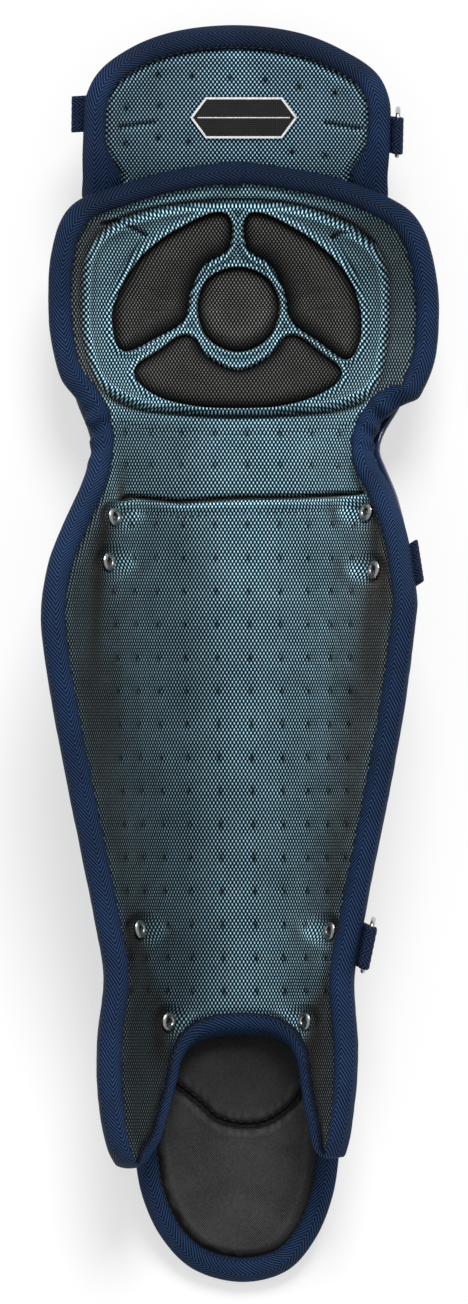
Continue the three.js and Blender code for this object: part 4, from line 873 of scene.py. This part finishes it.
# A padded panel with a fine face and a plain back
def panel(name, trough, rows, thick, relief, side, marks, spacing, cloth, back, dense=None, spots=(),
          widen=None):
    edge, n, cover = outline(trough, rows)
    if widen is not None:
        cover = smooth_loop(cover * widen(edge), 8)
    inner = edge[:, :2] + n * np.minimum(3.0, 0.35 * cover)[:, None]

    def raised(x, y):
        d, near = distance(np.stack([x, y], -1), edge)
        q = d - cover[near]
        return relief(x, y) * ramp(q, -1.5, 4.5) - 1.6 * bump(q + 0.4, 2.0) - 3.6 * ramp(-q, 0.6, 9.0)

    lo, hi = inner.min(0) - 2, inner.max(0) + 2
    grid = Relief(trough, (*lo, *hi), 0.8, raised)

    def upper(v):
        x, y = v[:, 0], v[:, 1]
        return trough.point(x, y, grid.at("height", x, y) - 0.9 * marks(x, y))

    def lower(v):
        d, near = distance(v, edge)
        q = d - cover[near]
        return trough.point(v[:, 0], v[:, 1], -thick + 2.6 * ramp(-q, 2.0, 9.0))

    verts, faces, vu, vl = slab(inner, upper, lower, spacing, 6.0, dense, spots)
    x, y = vu[:, 0], vu[:, 1]
    # The face's painted light tone: the shaded wall colours come in where the surface faces away from up, painted
    # shade darkens its hollows and marks, and a painted highlight lifts its raised parts
    keep, light = side(x, y)
    hollow = grid.at("hollow", x, y)
    keep = keep * ramp(grid.at("up", x, y), 0.30, 0.74)
    dark = np.clip(np.maximum(marks(x, y), 0.92 * ramp(hollow, 0.30, 1.5)), 0, 1)
    light = np.clip(0.5 * light * (1 + 0.5 * ramp(-hollow, 0.1, 0.9)), 0, 1)
    tone = np.stack([np.clip(keep, 0, 1), 1 - dark, light], -1)
    tone = np.vstack([tone, np.tile(PLAIN_TONE, (len(vl), 1))])
    obj = make(name, verts, faces, flat_uv(trough, vu, vl), tone)
    obj.data.materials.append(cloth)
    obj.data.materials.append(back)
    index = np.zeros(len(faces), np.int32)
    index[sum(1 for f in faces if len(f) == 3 and max(f) < len(vu)):] = 1
    obj.data.polygons.foreach_set("material_index", index)
    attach(obj, "root")
    return obj, edge, n, cover


# The folded tape: a rounded section swept round the edge
SECTION = np.array([
    [1.00, -2.6], [1.00, -1.2], [0.97, 0.3], [0.90, 1.35], [0.78, 2.0], [0.63, 2.25], [0.47, 1.95],
    [0.33, 1.1], [0.20, -0.2], [0.10, -1.7], [0.03, -3.2], [0.00, -4.6]])


def tape(name, trough, edge, n, cover, thick, folds=(), lap=None):
    mid = SECTION[-1, 1]
    lower = SECTION[::-1][1:].copy()
    lower[:, 1] = mid - (lower[:, 1] - mid) * (thick / -mid - 1)
    section = np.vstack([SECTION, lower])
    count, k = len(edge), len(section)
    s = lengths(edge[:, :2])
    rows = []
    for i, (share, h) in enumerate(section):
        w = cover * share
        wave = 0.35 * hash_noise(s, np.full_like(s, i * 0.6), 12, 11)
        wave += 0.2 * hash_noise(s, np.full_like(s, i * 0.5), 4, 12)
        hh = h + wave
        for side, fy, out, reach in folds:
            f = bump(edge[:, 1] - fy, reach) * (edge[:, 0] * side > 0)
            w = w - f * out * (1 - share) ** 0.7
            hh = hh + 0.6 * f * out
        if lap is not None:
            f = ramp(edge[:, 0], lap[0] - 0.5, lap[0] + 0.5) * (edge[:, 1] > 200)
            f = f * (1 - ramp(edge[:, 0], lap[1] - 0.5, lap[1] + 0.5))
            hh = hh + 0.8 * f
            w = w + f * (1.0 * (share > 0.8) - 0.7 * (share < 0.2))
        x, y = edge[:, 0] + n[:, 0] * w, edge[:, 1] + n[:, 1] * w
        rows.append(trough.point(x, y, hh))
    grid = np.stack(rows, 1)
    loops = np.arange(count * k).reshape(count, k)
    a, b = loops, np.roll(loops, -1, 0)
    quads = np.stack([a, b, np.roll(b, -1, 1), np.roll(a, -1, 1)], -1)
    step = np.linalg.norm(np.roll(grid[:, k // 2], -1, 0) - grid[:, k // 2], axis=1)
    u = np.concatenate([[0], np.cumsum(step)])
    across = np.linalg.norm(np.diff(np.concatenate([grid, grid[:, :1]], 1), axis=1), axis=2)
    v = np.concatenate([np.zeros((count, 1)), np.cumsum(across, 1)], 1)
    v = np.vstack([v - v[:, [SECTION.shape[0] - 1]], v[:1] - v[0, SECTION.shape[0] - 1]])
    i, j = np.meshgrid(np.arange(count), np.arange(k), indexing="ij")
    corner = lambda di, dj: np.stack([u[i + di], v[i + di, j + dj]], -1)
    uv = np.stack([corner(0, 0), corner(1, 0), corner(1, 1), corner(0, 1)], 2)
    if winding(edge) > 0:
        quads, uv = quads[:, :, ::-1], uv[:, :, ::-1]
    # Painted shade across the tape, darkest at the edge tucked against the liner and partly dark on its underside, and
    # a painted light gain darker along the pieces' top edges, with random variation
    dark = np.interp(np.arange(k), [0, 1.5, 2.5, 3.5, 5, 7, 9, 12, k],
                     [0.0, 0.15, 0.4, 0.75, 1, 1, 0.95, 0.75, 0.6])
    light = 0.47 - 0.25 * ramp(-n[:, 1], 0.4, 1.0) - 0.05 * ramp(n[:, 1], 0.3, 1.0)
    light = light + 0.10 * hash_noise(s, s * 0, 23, 13)
    tone = np.stack(np.broadcast_arrays(1.0, dark[None, :], light[:, None]), -1).reshape(-1, 3)
    obj = make(name, grid.reshape(-1, 3), quads.reshape(-1, 4), None, tone)
    layer = obj.data.uv_layers.new(name="UVMap")
    layer.data.foreach_set("uv", (uv.reshape(-1) / 1000.0).astype(np.float32))
    obj.data.materials.append(navy_twill)
    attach(obj, "root")
    return obj, grid


# Rows of stitches: short bent threads along a line on a surface
def stitches(name, path, up, length, gap, radius, cloth, lift):
    s = lengths(path)
    verts, faces = [], []
    sides, rings = 6, 5
    angles = [2 * math.pi * k / sides for k in range(sides)]
    arch = np.sin(np.linspace(0, math.pi, rings))
    at = 0.0
    while at + length < s[-1]:
        ts = np.linspace(at, at + length, rings)
        c = np.stack([np.interp(ts, s, path[:, k]) for k in range(3)], -1)
        nn = unit(np.stack([np.interp(ts, s, up[:, k]) for k in range(3)], -1))
        c = c + nn * (lift - radius * 1.4 + arch * radius * 1.6)[:, None]
        b = np.cross(unit(np.gradient(c, axis=0)), nn)
        r = radius * (0.55 + 0.45 * arch)
        base = len(verts)
        for j in range(rings):
            verts += [c[j] + r[j] * (math.cos(a) * nn[j] + math.sin(a) * b[j]) for a in angles]
        faces += tube_faces(rings, sides, base) + tube_ends(rings, sides, base)
        at += length + gap
    obj = make(name, np.array(verts), faces)
    obj.data.materials.append(cloth)
    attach(obj, "root")


def surface_path(trough, xy, h):
    p = trough.point(xy[:, 0], xy[:, 1], h)
    return p, trough.normal(xy[:, 0], xy[:, 1])


# Leg liner
leg_liner, leg_edge, leg_in, leg_cover = panel(
    "leg_liner_padded", leg, LEG_OUTLINE, LINER_THICK, leg_relief, leg_painted_light,
    leg_marks, 1.5, teal_mesh, back_cloth, (72.0, 1.0), TUFTS[TUFTS[:, 1] < 72])
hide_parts("leg_liner")

# Gathers of the tape at the waist: side, y, how far out and how long
WAIST_FOLDS = [
    (-1, 129.0, -1.2, 2.0), (-1, 124.0, 3.4, 2.3), (-1, 118.6, -2.0, 2.0), (-1, 113.4, 1.9, 2.0),
    (-1, 108.4, -1.1, 1.9), (-1, 103.0, 0.8, 2.0), (1, 129.4, 1.6, 2.0), (1, 125.0, -1.5, 1.8),
    (1, 120.8, 1.6, 1.8), (1, 116.6, -1.6, 1.8), (1, 112.4, 1.4, 1.8), (1, 108.2, -1.2, 1.8),
    (1, 104.0, 0.8, 1.9),
]
leg_tape, leg_grid = tape("leg_tape", leg, leg_edge, leg_in, leg_cover, LINER_THICK, WAIST_FOLDS, (-8.0, 2.0))
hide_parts("leg_binding")


# Thigh pad
THIGH_LINES = [np.array([[-62.0, 276.5], [-44.0, 279.0]]), np.array([[46.0, 278.5], [65.0, 275.5]])]


def thigh_relief(x, y):
    h = 1.2 + 0.4 * hash_noise(x, y, 24, 21) + 0.25 * hash_noise(x, y, 9, 22)
    for line in THIGH_LINES:
        h = h - 2.4 * bump(to_line(x, y, line), 1.1)
    for cx, cy in THIGH_TUFTS:
        h = h - 0.6 * bump(np.hypot(x - cx, y - cy), 3.2)
    return h


THIGH_TUFTS = PIXEL_MM * (np.array([
    [158, 75], [192, 76], [230, 78], [265, 80], [299, 87], [335, 93], [159, 106], [126, 108], [158, 138],
    [188, 142], [125, 144], [292, 152], [325, 156], [366, 153]]) - PHOTO_MIDDLE) * (1, -1)


# Painted shade and light on the thigh pad: the shaded wall colours toward its sides, and a painted light level
# brightest in the middle and darkest at the left, with random variation
def thigh_painted_light(x, y):
    keep = 1 - 0.35 * ramp(np.abs(x), 58, 74)
    light = np.interp(x, [-75, -45, -5, 45, 75], [0.58, 0.62, 0.94, 0.88, 0.75])
    return keep, light * (1 + 0.2 * hash_noise(x, y, 19, 26) + 0.12 * hash_noise(x, y, 8, 27))


# The thigh pad's marks are painted shade in its tufts' dimples
thigh_liner, thigh_edge, thigh_in, thigh_cover = panel(
    "thigh_liner_padded", thigh, THIGH_OUTLINE, THIGH_THICK, thigh_relief, thigh_painted_light,
    lambda x, y: tuft_dips(x, y, THIGH_TUFTS, 2.2, 1.8), 1.3, thigh_mesh, back_cloth, None, THIGH_TUFTS,
    lambda e: 1 + 1.05 * (1 - ramp(e[:, 1], 247, 271)) * ramp(np.abs(e[:, 0]), 64, 76))
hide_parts("thigh_liner")
thigh_tape, thigh_grid = tape("thigh_tape", thigh, thigh_edge, thigh_in, thigh_cover, THIGH_THICK)
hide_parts("thigh_binding")

# Foot flap
seam_line = curve(FOOT_SEAM, 1.5, closed=False)
foot_curve, _, foot_room = outline(foot, FOOT_OUTLINE)


def foot_relief(x, y):
    d = to_line(x, y, seam_line)
    line = np.interp(x, seam_line[:, 0], seam_line[:, 1])
    h = 1.3 - 1.5 * bump(d - 1.1, 0.8) - 1.0 * bump(d, 2.2) + 0.9 * bump(d - 5.0, 2.8)
    pucker = 0.55 * np.cos(x * 1.1 + 2 * np.sin(x * 0.31)) * bump(d - 3.4, 2.4)
    q, near = distance(np.stack([x, y], -1), foot_curve)
    h = h + 0.8 * ramp(line - y, 0, 9) + pucker - 2.0 * bump(q - foot_room[near] - 1.6, 2.0)
    return h + 0.5 * hash_noise(x, y, 22, 31) + 0.4 * hash_noise(x, y, 8, 32) + 0.12 * hash_noise(x, y, 3, 33)


# Dark marks painted into the colour: painted shade in the seam's groove and a painted shadow in the gap beside the
# tape
def foot_marks(x, y):
    d = to_line(x, y, seam_line)
    q, near = distance(np.stack([x, y], -1), foot_curve)
    rim = ramp(foot_room[near] + 1.9 - 0.03 * x + 2.2 * hash_noise(x, y, 3.4, 35) * (x < 5) - q, -0.5, 1.0)
    return np.clip(0.9 * bump(d - 1.1, 0.75) + 0.35 * bump(d, 2.6) + 0.95 * rim, 0, 1)


# Painted light on the foot flap: brightest in the middle, and lighter below the seam line
def foot_painted_light(x, y):
    line = np.interp(x, seam_line[:, 0], seam_line[:, 1])
    middle = bump(np.hypot(x / 34, (y + 270) / 75), 1.0)
    return np.ones_like(x), (0.59 + 0.27 * ramp(line - y, -2, 6)) * (0.82 + 0.3 * middle)


foot_liner, foot_edge, foot_in, foot_cover = panel(
    "foot_liner_padded", foot, FOOT_OUTLINE, FOOT_THICK, foot_relief, foot_painted_light, foot_marks, 1.1,
    foot_knit, back_cloth)
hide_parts("foot_liner")
foot_tape, foot_grid = tape("foot_tape", foot, foot_edge, foot_in, foot_cover, FOOT_THICK)
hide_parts("foot_binding")

SWELL_FRAMES, PAD_PRESSURE, PAD_CAP = 20, 30.0, 3.6


# Swells a closed piece by cloth pressure, with the listed points held, and caps how far it moves
def swell(obj, held, pressure, cap):
    scene = bpy.context.scene
    group = obj.vertex_groups.new(name="held")
    group.add([int(i) for i in held], 1.0, "REPLACE")
    cloth = obj.modifiers.new("swell", "CLOTH")
    s = cloth.settings
    s.quality = 6
    s.mass = 0.05
    s.tension_stiffness = s.compression_stiffness = 12
    s.shear_stiffness = 4
    s.bending_stiffness = 0.3
    s.use_pressure = True
    s.uniform_pressure_force = pressure
    s.vertex_group_mass = "held"
    s.effector_weights.gravity = 0
    cloth.point_cache.frame_start, cloth.point_cache.frame_end = 1, SWELL_FRAMES
    count = len(obj.data.vertices)
    start = np.zeros(count * 3)
    obj.data.vertices.foreach_get("co", start)
    for frame_number in range(1, SWELL_FRAMES + 1):
        scene.frame_set(frame_number)
    end = np.zeros(count * 3)
    obj.evaluated_get(bpy.context.evaluated_depsgraph_get()).data.vertices.foreach_get("co", end)
    obj.modifiers.remove(cloth)
    obj.vertex_groups.remove(group)
    scene.frame_set(1)
    move = (end - start).reshape(-1, 3)
    size = np.linalg.norm(move, axis=1, keepdims=True)
    limit = cap / 1000.0
    move *= limit * np.tanh(size / limit) / np.maximum(size, 1e-9)
    obj.data.vertices.foreach_set("co", (start.reshape(-1, 3) + move).ravel())
    obj.data.update()


# Knee pads: pillows set into the windows of the web
for name, loop in pad_loops.items():
    def upper(v, loop=loop):
        d, _ = distance(v, loop)
        crown = 4.6 * (1 - np.exp(-np.maximum(d, 0) / 3.4)) + 0.7 * hash_noise(v[:, 0], v[:, 1], 13, 41)
        return leg.point(v[:, 0], v[:, 1], 1.2 + crown)

    def lower(v):
        return leg.point(v[:, 0], v[:, 1], -0.8)

    verts, faces, vu, vl = slab(loop, upper, lower, 1.2, 5.0)
    d, near = distance(np.vstack([vu, vl]), loop)
    into = inward(loop)[near]
    away = loop[near] - (0.0, 181.0)
    away /= np.maximum(np.linalg.norm(away, axis=1, keepdims=True), 1e-6)
    # Painted shade at each pad's edges, wider on its lower edge and the edge toward the knee's middle, a painted light
    # level for each pad and a painted highlight band inside its edges
    shadow_side = np.clip(0.8 * into[:, 1] + 0.7 * (into * away).sum(1) * (name != "knee_pad_center"), 0, 1)
    light = {"knee_pad_center": 0.60, "knee_pad_lower": 0.37}.get(name, 0.46)
    tone = np.stack([ramp(d, 0.2, 5 + 8 * shadow_side), 0.04 + 0.96 * ramp(d, 0, 2.6 + 1.6 * shadow_side),
                     light * (0.86 + 0.28 * bump(d - 9, 5.0))], -1)
    pad = make(name + "_pillow", verts, faces, flat_uv(leg, vu, vl), tone)
    pad.data.materials.append(black_mesh)
    swell(pad, list(range(len(loop))) + list(range(len(vu), len(verts))), PAD_PRESSURE, PAD_CAP)
    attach(pad, "root")
    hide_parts(name)


# Hard shells: plates with rounded rims
def plate(name, trough, rows, high, sink):
    edge = curve(rows, 4.0)
    n = inward(edge)
    section = [[1.2, 0.0], [0.4, -0.25], [0.05, -0.9], [0.0, -1.5], [0.05, -2.1], [0.4, -2.75], [1.2, -3.0]]
    rings = []
    for w, h in section:
        x, y = edge[:, 0] + n[:, 0] * w, edge[:, 1] + n[:, 1] * w
        rings.append(trough.point(x, y, high + h - sink(y)))
    loop = edge[:, :2] + n * 1.2
    v, f = fill(loop, 6.0)
    top = trough.point(v[:, 0], v[:, 1], high - sink(v[:, 1]))
    low = trough.point(v[:, 0], v[:, 1], high - SHELL_THICK - sink(v[:, 1]))
    count = len(edge)
    verts = np.vstack([top, low] + rings[1:-1])
    k = len(v)
    ids = [np.arange(count)] + [2 * k + j * count + np.arange(count) for j in range(len(section) - 2)]
    ids.append(k + np.arange(count))
    forward = winding(edge) > 0
    faces = f.tolist() + (f[:, ::-1] + k).tolist()
    for a, b in zip(ids, ids[1:]):
        q = np.stack([a, b, np.roll(b, -1), np.roll(a, -1)], -1)
        faces += (q if forward else q[:, ::-1]).tolist()
    verts[:, 2] = np.maximum(verts[:, 2], 0)
    obj = make(name + "_plate", verts, faces)
    obj.data.materials.append(shell_plastic)
    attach(obj, "root")
    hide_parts(name)


no_sink = lambda y: np.zeros_like(np.asarray(y, float))
cap_sink = lambda y: station(CAP, 1, y) * (SHELL_THICK + SEAT_GAP)
plate("shin_shell", leg, SHELLS["shin_shell"], -LINER_THICK - SEAT_GAP, no_sink)
plate("knee_shell", leg, SHELLS["knee_shell"], -LINER_THICK - SEAT_GAP, cap_sink)
plate("thigh_shell", thigh, SHELLS["thigh_shell"], -THIGH_THICK - SEAT_GAP, no_sink)
plate("foot_shell", foot, SHELLS["foot_shell"], -FOOT_THICK - SEAT_GAP, no_sink)


# Rivets: a dished eyelet head, a shank and a domed outer head
LATHE_SIDES, HOLLOW_FROM = 32, 14


def lathe(name, profile, at, axis):
    axis = unit(axis)
    u = unit(np.cross(axis, [0.0, 1.0, 0.0]))
    w = np.cross(axis, u)
    angles = [2 * math.pi * k / LATHE_SIDES for k in range(LATHE_SIDES)]
    verts = [at + axis * h + r * (math.cos(a) * u + math.sin(a) * w) for r, h in profile for a in angles]
    rings = len(profile)
    return make(name, np.array(verts), tube_faces(rings, LATHE_SIDES) + tube_ends(rings, LATHE_SIDES))


for name, rx, ry, through in RIVETS:
    x, y = rx * HALF_WIDTH, ry * GUARD_LENGTH
    at = leg.point(x, y, 0.0)[0]
    axis = leg.normal(np.array([x]), np.array([y]))[0]
    depth = RIVET_REACH + (float(cap_sink(y)[0]) if through == "cap" else 0)
    if through == "foot":
        h = -RIVET_REACH
        while h > -60:
            q = at + axis * h
            n = foot.normal(q[:1], q[1:2])[0]
            if (q[2] - foot.height(q[:1], q[1:2])[0]) * n[2] + FOOT_THICK <= 0:
                break
            h -= 0.1
        depth = -h
    out = -depth - 0.7
    under = 0.35 - 3.0
    profile = [(0.0, out - 1.9), (1.6, out - 1.85), (3.0, out - 1.5), (4.2, out - 0.8), (4.9, out - 0.1),
               (4.9, out + 0.1), (2.0, out + 0.1), (2.0, under), (4.7, under), (5.0, under + 0.35), (4.8, under + 0.9),
               (4.1, under + 1.45), (3.3, under + 1.7), (2.6, under + 1.6), (2.1, under + 1.1),
               (1.8, under + 0.2), (1.5, under - 1.6), (0.0, under - 1.7)]
    rivet = lathe(name + "_metal", profile, at, axis)
    rivet.data.materials.append(rivet_metal)
    # The inside of the eyelet's hollow takes the dark grey as painted shade
    rivet.data.materials.append(hollow_painted_shade)
    ring_of = np.arange(len(rivet.data.polygons)) // LATHE_SIDES
    rivet.data.polygons.foreach_set("material_index", np.where(ring_of >= HOLLOW_FROM, 1, 0))
    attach(rivet, "root")
    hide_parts(name)

# Badge plate: a stretched hexagon with a light border and divider
bx, by = 3.1, 0.4264 * GUARD_LENGTH
BADGE_WIDTH, BADGE_HEIGHT = 56.7, 21.5
corners = [(-0.5, 0), (-0.36, -0.5), (0.36, -0.5), (0.5, 0), (0.36, 0.5), (-0.36, 0.5)]


def badge_loop(grow):
    p = np.array([(u * (BADGE_WIDTH + 2 * grow), v * (BADGE_HEIGHT + 2 * grow)) for u, v in corners])
    out = []
    for k in range(6):
        a, b = p[k], p[(k + 1) % 6]
        m = max(int(np.linalg.norm(b - a) / 1.2), 1)
        out += [a + (b - a) * j / m for j in range(m)]
    return np.array(out) + (bx, by)


def badge_part(name, loop, low, high, cloth, spacing=2.5):
    top = lambda v: thigh.point(v[:, 0], v[:, 1], high)
    bottom = lambda v: thigh.point(v[:, 0], v[:, 1], low)
    verts, faces, vu, vl = slab(loop, top, bottom, spacing, spacing)
    obj = make(name, verts, faces, np.vstack([vu, vl]))
    obj.data.materials.append(cloth)
    obj.data.shade_flat()
    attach(obj, "root")
    return obj


def line_strip(name, path, width, low, high, closed):
    d = np.roll(path, -1, 0) - np.roll(path, 1, 0) if closed else np.gradient(path, axis=0)
    d = unit(d)
    side = np.stack([-d[:, 1], d[:, 0]], -1) * width / 2
    rings = [(path + side, low), (path + side, high), (path - side, high), (path - side, low)]
    grid = np.stack([thigh.point(q[:, 0], q[:, 1], h) for q, h in rings], 1)
    count = len(path)
    faces = tube_faces(count, 4, closed=closed)
    if not closed:
        faces += tube_ends(count, 4)
    obj = make(name, grid.reshape(-1, 3), faces)
    obj.data.shade_flat()
    obj.data.materials.append(white_line)
    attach(obj, "root")


badge = badge_part("badge_plate", badge_loop(0), 0.9, 2.3, badge_face)
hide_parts("badge_patch")
line_strip("badge_border", badge_loop(-0.55), 1.1, 2.2, 2.6, True)
divider = np.stack([np.linspace(bx - 24.5, bx + 24.5, 40), np.full(40, by)], -1)
line_strip("badge_divider", divider, 0.5, 2.2, 2.5, False)

# Stitch lines
for name, trough, grid in (("leg", leg, leg_grid), ("thigh", thigh, thigh_grid), ("foot", foot, foot_grid)):
    path = np.vstack([grid[:, 3], grid[:1, 3]])
    up = trough.normal(path[:, 0], path[:, 1])
    stitches(name + "_tape_stitches", path, up, 2.6, 1.5, 0.34, navy_thread, 0.25)
for k, off in enumerate((-1.7, 1.7)):
    d = unit(np.gradient(seam_line, axis=0))
    line = seam_line + np.stack([-d[:, 1], d[:, 0]], -1) * off
    h = foot_relief(line[:, 0], line[:, 1])
    path, up = surface_path(foot, line, h)
    stitches("foot_seam_stitches_%d" % k, path, up, 3.2, 1.2, 0.36, black_thread, 0.2)
ledge_x = np.linspace(-52, 60, 80)
ledge = np.stack([ledge_x, np.interp(ledge_x, LEDGE[:, 0], LEDGE[:, 1]) - 7.6], -1)
path, up = surface_path(leg, ledge, leg_relief(ledge[:, 0], ledge[:, 1]))
stitches("ledge_stitches", path, up, 2.4, 1.6, 0.28, black_thread, 0.1)


# Webbing tabs and wire rings
TABS = [
    ["thigh_tab_left", -1, "thigh", 0.4268, 19, 5.8, None],
    ["thigh_tab_right", 1, "thigh", 0.4096, 19.5, 6.4, "thigh_ring"],
    ["shin_tab_right", 1, "leg", 0.0768, 25, 3.8, None],
    ["ankle_tab_right", 1, "leg", -0.2303, 23, 9, "ankle_ring"],
]
TAB_TAIL, TAB_PLY, TAB_GAP, WIRE_R, EYE_R, RING_DROP = 7.0, 1.4, 0.9, 1.3, 1.7, 16.0
for name, side, of, ty, width, reach, ring in TABS:
    trough, edge, n, thick = {"thigh": (thigh, thigh_edge, thigh_in, THIGH_THICK),
                              "leg": (leg, leg_edge, leg_in, LINER_THICK)}[of]
    y = ty * GUARD_LENGTH
    pick = np.where(np.sign(edge[:, 0]) == side)[0]
    i = pick[np.argmin(np.abs(edge[pick, 1] - y))]
    level = 0.8 - thick - TAB_GAP
    at = lambda w: trough.point(edge[i, 0] + n[i, 0] * w, edge[i, 1] + n[i, 1] * w, level).ravel()
    origin = at(1.5)
    tangent = np.array([-n[i, 1], n[i, 0]]) * width / 3
    beside = lambda k: trough.point(edge[i, 0] + k * tangent[0], edge[i, 1] + k * tangent[1], level).ravel()
    along = unit(beside(1) - beside(-1))
    out = origin - at(TAB_TAIL)
    out = unit(out - along * (out @ along))
    up = np.cross(along, out)
    end = EYE_R + TAB_PLY if ring else TAB_PLY
    eye = reach - end
    back = math.sqrt(end * end - TAB_PLY * TAB_PLY)
    turn = math.asin(TAB_PLY / end)
    tail = TAB_TAIL + 4
    outer = [(-tail, -2 * TAB_PLY), (-tail / 2, -2 * TAB_PLY), (eye - back, -2 * TAB_PLY)]
    for a in np.linspace(math.pi + turn, 3 * math.pi - turn, 18)[1:-1]:
        outer.append((eye + end * math.cos(a), -TAB_PLY + end * math.sin(a)))
    outer += [(eye - back, 0.0), (-tail / 2, 0.0), (-tail, 0.0)]
    outer = np.array(outer)
    m = 26
    zs = np.linspace(-width / 2, width / 2, m)
    rows = []
    for z in zs:
        e = 0.35 * (1 - min(1.0, (width / 2 - abs(z)) / 1.2)) ** 2
        c = outer.copy()
        c[:, 1] = -TAB_PLY + (c[:, 1] + TAB_PLY) * (1 - e)
        c[:, 1] += 0.12 * math.sin(z * 1.7)
        rows.append(origin + c[:, [0]] * out + c[:, [1]] * up + z * along)
    grid = np.stack(rows, 0)
    k = len(outer)
    ids = np.arange(m * k).reshape(m, k)
    faces = [[ids[a, b], ids[a, (b + 1) % k], ids[a + 1, (b + 1) % k], ids[a + 1, b]]
             for a in range(m - 1) for b in range(k)]
    faces += [ids[0][::-1].tolist(), ids[-1].tolist()]
    uv = np.stack([np.tile(lengths(outer), m), np.repeat(zs, k)], -1)
    tab = make(name + "_webbing", grid.reshape(-1, 3), faces, uv, np.tile(PLAIN_TONE, (m * k, 1)))
    tab.data.materials.append(navy_webbing)
    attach(tab, "root")
    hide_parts(name)
    if ring is None:
        continue
    half = width / 2 + WIRE_R + 0.4
    centre = origin + eye * out - TAB_PLY * up
    down = np.array([0.0, 0.0, -1.0])
    down = unit(down - along * (down @ along))
    r = 3.0
    corners_uv = [(-half, 0), (half, 0), (half, RING_DROP), (-half, RING_DROP)]
    path = []
    for c in range(4):
        p0, p1, p2 = (np.array(corners_uv[(c + k) % 4], float) for k in (3, 0, 1))
        a, b = unit(p0 - p1), unit(p2 - p1)
        for t in np.linspace(0, math.pi / 2, 8):
            path.append(p1 + a * r * (1 - math.sin(t)) + b * r * (1 - math.cos(t)))
    path = np.array(path)
    d = unit(np.roll(path, -1, 0) - np.roll(path, 1, 0))
    flat = np.cross(along, down)
    verts, sides = [], 14
    for (pu, pv), (du, dv) in zip(path, d):
        c = centre + pu * along + pv * down
        across = -dv * along + du * down
        for q in range(sides):
            a = 2 * math.pi * q / sides
            verts.append(c + WIRE_R * (math.cos(a) * across + math.sin(a) * flat))
    wire = make(ring + "_wire", np.array(verts), tube_faces(len(path), sides, closed=True))
    wire.data.materials.append(wire_metal)
    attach(wire, "root")
    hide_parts(ring)

# Floor, light and camera
floor_mesh = bpy.data.meshes.new("floor")
floor_mesh.from_pydata([(-4, -4, 0), (4, -4, 0), (4, 4, 0), (-4, 4, 0)], [], [(0, 1, 2, 3)])
floor = bpy.data.objects.new("floor", floor_mesh)
bpy.context.collection.objects.link(floor)
floor_material, _, floor_shader = material("floor_pale", (0.42, 0.42, 0.42), 0.95)
floor_shader.inputs["Specular IOR Level"].default_value = 0.0
floor_shader.inputs["Emission Color"].default_value = (1, 1, 1, 1)
floor_shader.inputs["Emission Strength"].default_value = 0.58
floor.data.materials.append(floor_material)

world = bpy.data.worlds.new("studio")
world.use_nodes = True
world.node_tree.nodes["Background"].inputs[0].default_value = (1, 1, 1, 1)
world.node_tree.nodes["Background"].inputs[1].default_value = 0.52
bpy.context.scene.world = world
bpy.context.scene.view_settings.view_transform = "Standard"

key = bpy.data.lights.new("key", "SUN")
key.angle = math.radians(24)
key.energy = 2.6
key_object = bpy.data.objects.new("key", key)
bpy.context.collection.objects.link(key_object)
key_object.rotation_euler = (math.radians(46 - 90), 0, math.radians(-8))

camera_data = bpy.data.cameras.new("camera")
camera_data.type = "ORTHO"
camera_data.ortho_scale = 0.6846
camera_data.clip_end = 20
camera = bpy.data.objects.new("camera", camera_data)
bpy.context.collection.objects.link(camera)
camera.location = (-0.0021 - 0.00129, 0.0008 - 0.00007, 3.0)
camera.rotation_euler = (0, 0, 0)
bpy.context.scene.camera = camera
